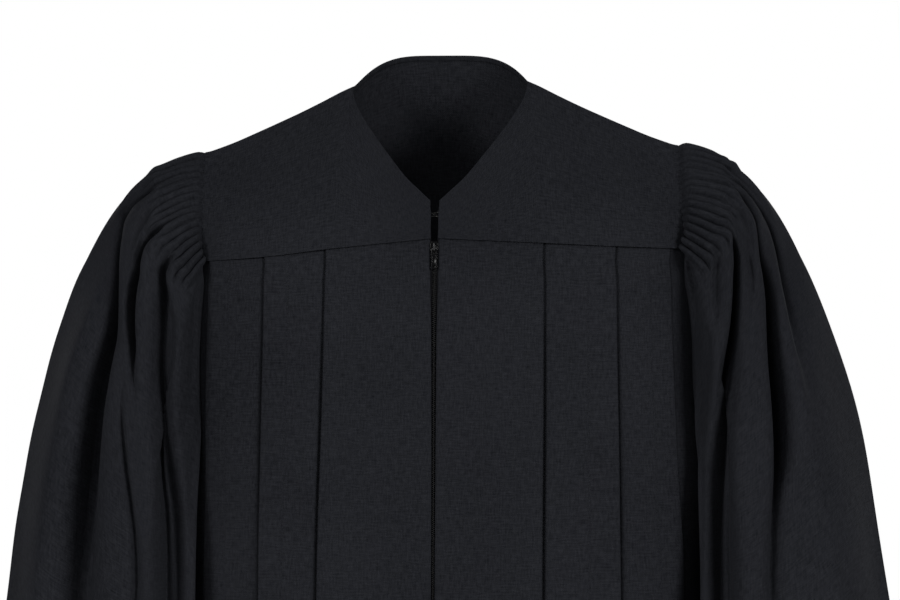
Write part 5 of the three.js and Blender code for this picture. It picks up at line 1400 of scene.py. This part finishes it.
@dataclass(frozen=True)
class EnamelledMetal:
    """Die-cast metal under black enamel: glossy, with metal showing where the enamel is rubbed thin."""

    name: str
    enamel: str
    metal: str
    roughness: float

    def material(self) -> bpy.types.Material:
        """Builds the material."""
        material, tree, shader = blank_material(self.name)
        place = add_node(tree, "TexCoord")
        edge = add_node(tree, "NewGeometry")
        rubbed = add_node(tree, "TexNoise", {"Vector": place.outputs["Object"], "Scale": 420.0,
                                             "Detail": 5.0})
        sharp = add_node(tree, "MapRange", {"Value": edge.outputs["Pointiness"], "From Min": 0.56,
                                            "From Max": 0.68})
        worn = add_node(tree, "Math", {0: sharp.outputs[0], 1: rubbed.outputs["Fac"]}, operation="MULTIPLY")
        colour = add_node(tree, "Mix", {0: worn.outputs[0], 6: linear(self.enamel), 7: linear(self.metal)},
                          data_type="RGBA")
        rough = add_node(tree, "MapRange", {"Value": rubbed.outputs["Fac"], "To Min": self.roughness - 0.08,
                                            "To Max": self.roughness + 0.12})
        tree.links.new(colour.outputs[2], shader.inputs["Base Color"])
        tree.links.new(rough.outputs[0], shader.inputs["Roughness"])
        tree.links.new(worn.outputs[0], shader.inputs["Metallic"])
        shader.inputs["Specular IOR Level"].default_value = 0.3
        return material


GOWN_CLOTH = WovenCloth("gown_poplin", "#0F1013", "#26272B", pitch=0.9, relief=0.16, roughness=0.8,
                        bloom=0.008)
TAPE_CLOTH = WovenCloth("zip_tape_weave", "#0A0A0C", "#161619", pitch=0.6, relief=0.12, roughness=0.88,
                        bloom=0.02, slub=3.0)
COIL_NYLON = MouldedNylon("coil_nylon", "#0B0B0D", 0.46)
SEWING_THREAD = MouldedNylon("sewing_thread", "#141417", 0.7)
SLIDER_ENAMEL = EnamelledMetal("enamelled_slider", "#030304", "#4A4B50", 0.14)


class Slot(Enum):
    """The record's material slots."""

    CLOTH = "gown_cloth"
    TAPE = "zip_tape"
    COIL = "nylon_coil"
    METAL = "black_metal"


# The closure: zip, slider, pull tab, hook and eye

@dataclass
class Bench:
    """Modelling in edit mode, in millimetres."""

    def primitive(self, add: Callable, name: str, **settings: object) -> bpy.types.Object:
        """Adds a primitive with nothing else selected.

        Args:
            add: The operator that adds it.
            name: The piece's name.
            settings: The operator's settings.

        Returns:
            The new object.
        """
        bpy.ops.object.select_all(action="DESELECT")
        add(**settings)
        made = bpy.context.object
        made.name = made.data.name = name
        return made

    def block(self, name: str, low: Sequence[float], high: Sequence[float]) -> bpy.types.Object:
        """Adds a box between two corners."""
        middle = [(a + b) / 2 * MM for a, b in zip(low, high)]
        made = self.primitive(bpy.ops.mesh.primitive_cube_add, name, size=1, location=middle)
        made.scale = [(b - a) * MM for a, b in zip(low, high)]
        bpy.ops.object.transform_apply(location=True, rotation=True, scale=True)
        return made

    def pick(self, piece: bpy.types.Object, test: Callable[[Vector, Vector], bool]) -> None:
        """Selects the faces whose middle and normal pass a test, and enters edit mode.

        Args:
            piece: The piece.
            test: Takes a face's middle, in millimetres, and its normal.
        """
        bpy.context.view_layer.objects.active = piece
        bpy.context.scene.tool_settings.mesh_select_mode = (False, False, True)
        for item in (*piece.data.vertices, *piece.data.edges):
            item.select = False
        for face in piece.data.polygons:
            face.select = test(face.center / MM, face.normal)
        bpy.ops.object.mode_set(mode="EDIT")

    def done(self) -> None:
        """Leaves edit mode."""
        bpy.ops.object.mode_set(mode="OBJECT")

    def trim(self, piece: bpy.types.Object, place: Sequence[float], way: Sequence[float]) -> None:
        """Cuts away all that lies beyond a plane, and closes the cut.

        Args:
            piece: The piece.
            place: A point of the plane, in millimetres.
            way: The plane's direction, towards what is cut away.
        """
        self.pick(piece, lambda middle, normal: True)
        bpy.ops.mesh.bisect(plane_co=[c * MM for c in place], plane_no=way, use_fill=True, clear_outer=True)
        self.done()

    def finish(self, piece: bpy.types.Object, kind: str, **settings: object) -> None:
        """Adds a modifier and applies it."""
        bpy.ops.object.select_all(action="DESELECT")
        piece.select_set(True)
        bpy.context.view_layer.objects.active = piece
        modifier = piece.modifiers.new(kind.title(), kind)
        for name, value in settings.items():
            setattr(modifier, name, value)
        bpy.ops.object.modifier_apply(modifier=modifier.name)

    def cut(self, piece: bpy.types.Object, tool: bpy.types.Object) -> None:
        """Cuts one piece with another, which is then thrown away."""
        self.finish(piece, "BOOLEAN", operation="DIFFERENCE", object=tool, solver="EXACT")
        bpy.data.objects.remove(tool, do_unlink=True)

    def join(self, name: str, parts: Sequence[bpy.types.Object]) -> bpy.types.Object:
        """Joins pieces into one."""
        bpy.ops.object.select_all(action="DESELECT")
        for part in parts:
            part.select_set(True)
        bpy.context.view_layer.objects.active = parts[0]
        bpy.ops.object.join()
        parts[0].name = parts[0].data.name = name
        return parts[0]

    def soften(self, piece: bpy.types.Object, radius: float, steps: int = 3, angle: float = 35) -> None:
        """Rounds the edges and shades the rest smoothly."""
        self.finish(piece, "BEVEL", width=radius * MM, segments=steps, limit_method="ANGLE",
                    angle_limit=math.radians(angle), harden_normals=False)
        bpy.ops.object.select_all(action="DESELECT")
        piece.select_set(True)
        bpy.context.view_layer.objects.active = piece
        bpy.ops.object.shade_smooth_by_angle(angle=math.radians(angle))

    def wire(self, name: str, places: Sequence[Sequence[float]], radius: float,
             sides: int = 3) -> bpy.types.Object:
        """Bends a round wire through some points.

        Args:
            name: The piece's name.
            places: The points of its middle line, in millimetres.
            radius: The wire's radius, in millimetres.
            sides: How round it is.

        Returns:
            The wire as a mesh.
        """
        bpy.ops.object.select_all(action="DESELECT")
        curve = bpy.data.curves.new(name, "CURVE")
        curve.dimensions = "3D"
        curve.bevel_depth = radius * MM
        curve.bevel_resolution = sides
        curve.use_fill_caps = True
        spline = curve.splines.new("NURBS")
        spline.points.add(len(places) - 1)
        for point, place in zip(spline.points, places):
            point.co = (*(c * MM for c in place), 1)
        spline.use_endpoint_u = True
        spline.order_u = 3
        spline.resolution_u = 6
        made = bpy.data.objects.new(name, curve)
        bpy.context.scene.collection.objects.link(made)
        made.select_set(True)
        bpy.context.view_layer.objects.active = made
        bpy.ops.object.convert(target="MESH")
        bpy.ops.object.shade_smooth()
        return bpy.context.object


@dataclass
class Closure:
    """The zip with its tapes, coil, slider and pull tab, and the hook and eye above it.

    Attributes:
        gown: The gown whose front edges it joins.
        bench: Where the hard pieces are modelled.
    """

    gown: Gown
    bench: Bench = field(default_factory=Bench)
    tape_outer: float = 16
    tape_thick: float = 0.7
    tape_top: float = 135
    behind: float = 1.5
    tooth_pitch: float = 1.9
    coil_middle: float = 2.4
    fastener_x: float = 6
    lean_reach: float = 8
    wire_radius: float = 0.45

    def frame_at(self, drop: float, behind: float) -> Matrix:
        """The frame of the hard pieces that lie against the cloth, with Z up along it.

        Args:
            drop: The frame's drop.
            behind: How far behind the cloth's face it lies.

        Returns:
            The frame, in metres.
        """
        face = [float(self.gown.front_face(drop + offset, self.fastener_x)) for offset in
                (-self.lean_reach, 0, self.lean_reach)]
        lean = math.atan((face[0] - face[2]) / (2 * self.lean_reach))
        place = Matrix.Translation(Vector((0, face[1] + behind, -drop)) * MM)
        return place @ Matrix.Rotation(-lean, 4, "X")

    def tape(self, side: Side) -> Shell:
        """One zip tape, behind the edge of its front."""
        edge = Table("drop half", (135, 3.8), (152, 3.4), (166, 2.8), (300, 2.8))
        drops = np.concatenate([np.linspace(self.tape_top, 175, 18), np.arange(181, ZIP_END_DROP + 6, 6.0)])
        shares = near_edges(9, edge=0.03)
        x = mix(edge("half", drops)[:, None], self.tape_outer, shares[None, :])
        face = np.array([[float(self.gown.front_face(d, v)) for v in row] for d, row in zip(drops, x)])
        ridge = 0.12 * np.cos(math.tau * 2.5 * shares)[None, :]
        grid = points(side.sign * x, face + self.behind + ridge, -drops[:, None])
        return Shell(f"zip_tape_{side.name}_woven", grid, self.tape_thick, turned=side.sign < 0)

    def tooth(self) -> bpy.types.Object:
        """One turn of the coil: a bar from the tape to a thick head that locks past the centre."""
        made = self.bench.primitive(
            bpy.ops.mesh.primitive_cylinder_add, "tooth", vertices=8, radius=0.44 * MM, depth=1.9 * MM,
            rotation=(0, math.pi / 2, 0), location=(1.5 * MM, 0, 0))
        bpy.ops.object.transform_apply(location=True, rotation=True, scale=True)
        for reach, grow in ((0.25, 1.2), (0.45, 1.0), (0.2, 0.55)):
            self.bench.pick(made, lambda middle, normal: normal.x < -0.9)
            bpy.ops.mesh.extrude_region_move(TRANSFORM_OT_translate={"value": (-reach * MM, 0, 0)})
            bpy.ops.transform.resize(value=(1, 1.15 * grow, grow))
            self.bench.done()
        return made

    def coil(self) -> bpy.types.Object:
        """The closed coil, from the slider down to the bottom stop: one tooth copied down each side."""
        tooth = self.tooth()
        own = np.array([v.co[:] for v in tooth.data.vertices]) / MM
        loops = [tuple(face.vertices) for face in tooth.data.polygons]
        bpy.data.objects.remove(tooth, do_unlink=True)
        drops = np.arange(SLIDER_DROP + 1, ZIP_END_DROP - 3.6, self.tooth_pitch / 2)
        vertices, faces = [], []
        for i, drop in enumerate(drops):
            flip = -1 if i % 2 else 1
            turned = own * [flip, 1, 1]
            tilt = turned[:, 0] * 0.08 * flip
            y = float(self.gown.front_face(drop)) + self.coil_middle + turned[:, 1]
            vertices.append(points(turned[:, 0], y, turned[:, 2] - drop + tilt))
            base = i * len(own)
            faces += [tuple(base + k for k in (loop if flip > 0 else loop[::-1])) for loop in loops]
        mesh = bpy.data.meshes.new("zip_coil")
        mesh.from_pydata((np.concatenate(vertices) * MM).tolist(), [], faces)
        mesh.shade_smooth()
        made = bpy.data.objects.new("zip_coil", mesh)
        bpy.context.scene.collection.objects.link(made)
        return made

    def bottom_stop(self) -> bpy.types.Object:
        """The metal staple that closes the zip's foot."""
        face = float(self.gown.front_face(ZIP_END_DROP)) + self.behind
        made = self.bench.block("zip_bottom_staple", (-2.5, face - 0.2, -ZIP_END_DROP),
                                (2.5, face + 2.2, 3.1 - ZIP_END_DROP))
        self.bench.pick(made, lambda middle, normal: normal.y < -0.9)
        bpy.ops.mesh.inset(thickness=0.5 * MM, depth=-0.25 * MM)
        self.bench.done()
        self.bench.soften(made, 0.35)
        return made

    def plate(self, name: str, front: float) -> bpy.types.Object:
        """One plate of the slider, in its own frame: wide shoulders and a foot that tapers to the coil."""
        made = self.bench.block(name, (-3.6, front, -5.2), (3.6, front + 1, 5.2))
        for way in (-1, 1):
            self.bench.trim(made, (way * 3.6, 0, 4), (way * 0.71, 0, 0.71))
            self.bench.trim(made, (way * 3.6, 0, -2.2), (way * 0.95, 0, -0.32))
        return made

    def slider(self) -> bpy.types.Object:
        """The slider: two plates joined by a post at the top, and a crown that carries the pull tab."""
        bench = self.bench
        back_face = self.behind + 2.3
        front = self.plate("slider_front", 0)
        bench.pick(front, lambda middle, normal: normal.y < -0.9)
        bpy.ops.mesh.inset(thickness=0.75 * MM, depth=-0.18 * MM)
        bench.done()
        rear = self.plate("slider_rear", back_face)
        post = bench.block("slider_post", (-2.2, 0.5, 2.3), (2.2, back_face + 0.5, 5.2))
        crown = bench.block("slider_crown", (-0.9, -3, -4.2), (0.9, 0.9, 3.6))
        opening = bench.block("crown_opening", (-2, -1.9, -3.1), (2, -0.02, 2.5))
        bench.cut(crown, opening)
        for part, radius in ((front, 0.28), (rear, 0.28), (post, 0.3), (crown, 0.32)):
            bench.soften(part, radius)
        return bench.join("zip_slider_cast", [front, rear, post, crown])

    def pull_tab(self) -> bpy.types.Object:
        """The pull tab, in the slider's frame: a slot round the crown's foot, a waist, and an eyelet."""
        bench = self.bench
        top, low, axis = -1.75, -21.25, -0.95
        made = bench.block("zip_tab_cast", (-2.7, axis - 0.55, low), (2.7, axis + 0.55, top))
        for way in (-1, 1):
            for z, up in ((top, 1), (low, -1)):
                bench.trim(made, (way * 2.0, 0, z), (way * 0.71, 0, up * 0.71))
        slot = bench.block("tab_slot", (-1.5, -3, top - 4.7), (1.5, 3, top - 1.1))
        bench.cut(made, slot)
        eyelet = bench.primitive(
            bpy.ops.mesh.primitive_cylinder_add, "tab_eyelet", vertices=32, radius=1.3 * MM, depth=6 * MM,
            rotation=(math.pi / 2, 0, 0), location=(0, 0, (low + 3.4) * MM))
        bpy.ops.object.transform_apply(location=True, rotation=True, scale=True)
        bench.cut(made, eyelet)
        for face in (-1, 1):
            groove = bench.block("tab_groove", (-1.5, axis + face * 0.55 - 0.14, low + 6.2),
                                 (1.5, axis + face * 0.55 + 0.14, top - 6))
            bench.cut(made, groove)
        bench.soften(made, 0.2)
        return made

    def hook(self) -> bpy.types.Object:
        """The hook, bent from round wire, with the loops that it is sewn on by."""
        leg = [(-7.4, 1.3, 2.9), (-8.6, 1.3, 3.9), (-9.9, 1.3, 3.4), (-9.9, 1.3, 2.2), (-8.4, 1.3, 1.6),
               (-5, 1.3, 1.5), (1.6, 1.3, 1.5), (3.3, 0.9, 1.5), (3.9, 0, 1.4), (3.3, -0.9, 1.3),
               (1.2, -1.3, 1.2),
               (-0.8, -1.3, 0.9), (-1.5, -1.3, 0.4)]
        places = leg + [(x, y, -z) for x, y, z in reversed(leg)]
        return self.bench.wire("hook_wire", places, self.wire_radius)

    def eye(self) -> bpy.types.Object:
        """The eye, bent from the same wire."""
        leg = [(7.6, 0, 4.6), (8.9, 0, 5.0), (10, 0, 4.3), (9.8, 0, 3.2), (8.4, 0, 2.9), (5.4, 0, 3.1),
               (3, 0, 2.9), (1.9, 0, 2.1), (1.6, 0, 1)]
        places = [*leg, (1.6, 0, 0), *((x, y, -z) for x, y, z in reversed(leg))]
        return self.bench.wire("eye_wire", places, self.wire_radius)

    def fastener_stitches(self) -> bpy.types.Object:
        """Thread over the wire of the hook and the eye, a few turns at each place."""
        turns = []
        places = [(x, way * z) for way in (-1, 1) for x, z in
                  ((-6.8, 1.5), (-6.1, 1.5), (-5.4, 1.5), (6.0, 3.1), (6.7, 3.05), (7.4, 3.0))]
        for x, z in places:
            y = 1.3 if x < 0 else 0.0
            bow = [(x, y + 0.2, z - 0.9), (x, y - 0.5, z - 0.5), (x + 0.1, y - 0.62, z),
            (x, y - 0.5, z + 0.5),
                   (x, y + 0.2, z + 0.9)]
            turns.append(self.bench.wire("turn", bow, 0.17, 1))
        return self.bench.join("fastener_stitches", turns)


# The studio

@dataclass(frozen=True)
class Lamp:
    """A soft rectangular lamp."""

    name: str
    place: tuple[float, float, float]
    size: float
    power: float

    def light(self, aim: Vector) -> None:
        """Hangs the lamp and turns it to a point."""
        data = bpy.data.lights.new(self.name, "AREA")
        data.shape = "SQUARE"
        data.size = self.size
        data.energy = self.power
        made = bpy.data.objects.new(self.name, data)
        made.location = self.place
        made.rotation_euler = (aim - Vector(self.place)).to_track_quat("-Z", "Y").to_euler()
        bpy.context.scene.collection.objects.link(made)


@dataclass
class Studio:
    """The floor, the white surround, the lamps and the camera.

    Attributes:
        aim: Where the camera looks, in metres.
        azimuth: How far the camera stands to the wearer's left, in degrees.
        distance: From the camera to the aim, in metres.
        lens: The focal length, in millimetres.
    """

    aim: Vector = field(default_factory=lambda: Vector((0.010, 0, -0.208)))
    azimuth: float = 2.5
    distance: float = 3.2
    lens: float = 131
    lamps: tuple[Lamp, ...] = (
        Lamp("front_left_lamp", (-2.6, -2.6, 0.5), 1.2, 69),
        Lamp("front_right_lamp", (2.7, -2.5, 0.5), 1.2, 90),
        Lamp("back_left_lamp", (-1.6, 3.3, 0.9), 1.6, 40),
        Lamp("back_right_lamp", (1.8, 3.2, 0.9), 1.6, 46),
        Lamp("top_lamp", (0, -0.8, 2.4), 1.8, 9),
        Lamp("fill_lamp", (-0.8, -2.7, 1.2), 1.0, 14),
    )

    def build(self) -> None:
        """Sets up the studio."""
        bpy.context.scene.view_settings.view_transform = "Standard"
        bpy.ops.mesh.primitive_circle_add(vertices=160, radius=3.4, fill_type="NGON",
                                          location=(0, 0, -FLOOR_DROP * MM))
        floor = bpy.context.object
        floor.name = "floor"
        material, tree, shader = blank_material("pale_floor")
        shader.inputs["Base Color"].default_value = linear("#E6E6E4")
        shader.inputs["Roughness"].default_value = 0.9
        floor.data.materials.append(material)
        self.surround()
        for lamp in self.lamps:
            lamp.light(Vector((0, 0, -0.4)))
        self.camera()

    def surround(self) -> None:
        """A white surround that the camera sees bright, and that lights the gown less."""
        world = bpy.data.worlds.new("white_surround")
        bpy.context.scene.world = world
        world.use_nodes = True
        tree = world.node_tree
        background = tree.nodes["Background"]
        background.inputs["Color"].default_value = (1, 1, 1, 1)
        rays = add_node(tree, "LightPath")
        strength = add_node(tree, "MapRange", {"Value": rays.outputs["Is Camera Ray"], "To Min": 0.15,
                                               "To Max": 1.0})
        tree.links.new(strength.outputs[0], background.inputs["Strength"])

    def camera(self) -> None:
        """The photograph's viewing angle."""
        data = bpy.data.cameras.new("camera")
        data.sensor_width = 36
        data.lens = self.lens
        turn = math.radians(self.azimuth)
        back = Vector((math.sin(turn), -math.cos(turn), 0))
        made = bpy.data.objects.new("camera", data)
        made.location = self.aim + back * self.distance
        made.rotation_euler = (-back).to_track_quat("-Z", "Y").to_euler()
        bpy.context.scene.collection.objects.link(made)
        bpy.context.scene.camera = made


def dress(piece: bpy.types.Object, node: str | Sequence[str], finish: bpy.types.Material,
          body: str = "gown") -> bpy.types.Object:
    """Gives a piece its finish and its place in the frame.

    Args:
        piece: The piece.
        node: The node or nodes of the frame that it stands for, if any.
        finish: Its material.
        body: The body that it moves with.

    Returns:
        The piece.
    """
    piece.data.materials.clear()
    piece.data.materials.append(finish)
    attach(piece, body)
    if node:
        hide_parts(*([node] if isinstance(node, str) else node))
    LOG.info("%s: %d faces on %s", piece.name, len(piece.data.polygons), body)
    return piece


def lay_cloth(shell: Shell, node: str, finish: bpy.types.Material) -> bpy.types.Object:
    """Builds a cloth piece and states the size of its cut.

    Args:
        shell: The piece's shape.
        node: The node that it stands for.
        finish: Its material.

    Returns:
        The piece.
    """
    piece = dress(shell.build(), node, finish)
    width, length, area = shell.cut()
    LOG.info("%s: cut %.3f x %.3f m, %.3f square metres", piece.name, width, length, area)
    return piece


def build_cloth(gown: Gown) -> None:
    """Builds every piece of the gown's cloth."""
    cloth = GOWN_CLOTH.material()
    for side in SIDES:
        lay_cloth(gown.front_yoke(side), f"yoke_front_{side.name}", cloth)
    lay_cloth(gown.back_yoke(), "yoke_back", cloth)
    for side in SIDES:
        lay_cloth(gown.front_panel(side), f"front_{side.name}", cloth)
        lay_cloth(gown.sleeve(side), f"sleeve_{side.name}", cloth)
    lay_cloth(gown.back_panel(), "back", cloth)


def build_closure(gown: Gown) -> None:
    """Builds the zip, and the hook and eye."""
    closure = Closure(gown)
    tape = TAPE_CLOTH.material()
    nylon, thread, enamel = COIL_NYLON.material(), SEWING_THREAD.material(), SLIDER_ENAMEL.material()
    for side in SIDES:
        lay_cloth(closure.tape(side), f"zip_tape_{side.name}", tape)
    dress(closure.coil(), "zip_chain", nylon)
    dress(closure.bottom_stop(), "zip_bottom_stop", enamel)
    at_slider = closure.frame_at(SLIDER_DROP, 0)
    at_hook = closure.frame_at(HOOK_DROP, 1 + 2 * closure.wire_radius)
    for make, node, body, place, finish in (
        (closure.slider, "zip_slider", "gown", at_slider, enamel),
        (closure.pull_tab, "zip_pull_tab", "pull_tab", at_slider, enamel),
        (closure.hook, "hook", "gown", at_hook, enamel),
        (closure.eye, "eye", "gown", at_hook, enamel),
        (closure.fastener_stitches, "", "gown", at_hook, thread),
    ):
        piece = make()
        piece.data.transform(place)
        dress(piece, node, finish, body)


def main() -> None:
    """Builds the gown, the closure and the studio."""
    logging.basicConfig(level=logging.INFO, format="%(message)s")
    bpy.ops.object.select_all(action="DESELECT")
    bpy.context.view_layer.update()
    Studio().build()
    gown = Gown()
    build_cloth(gown)
    build_closure(gown)


if __name__ == "__main__":
    main()
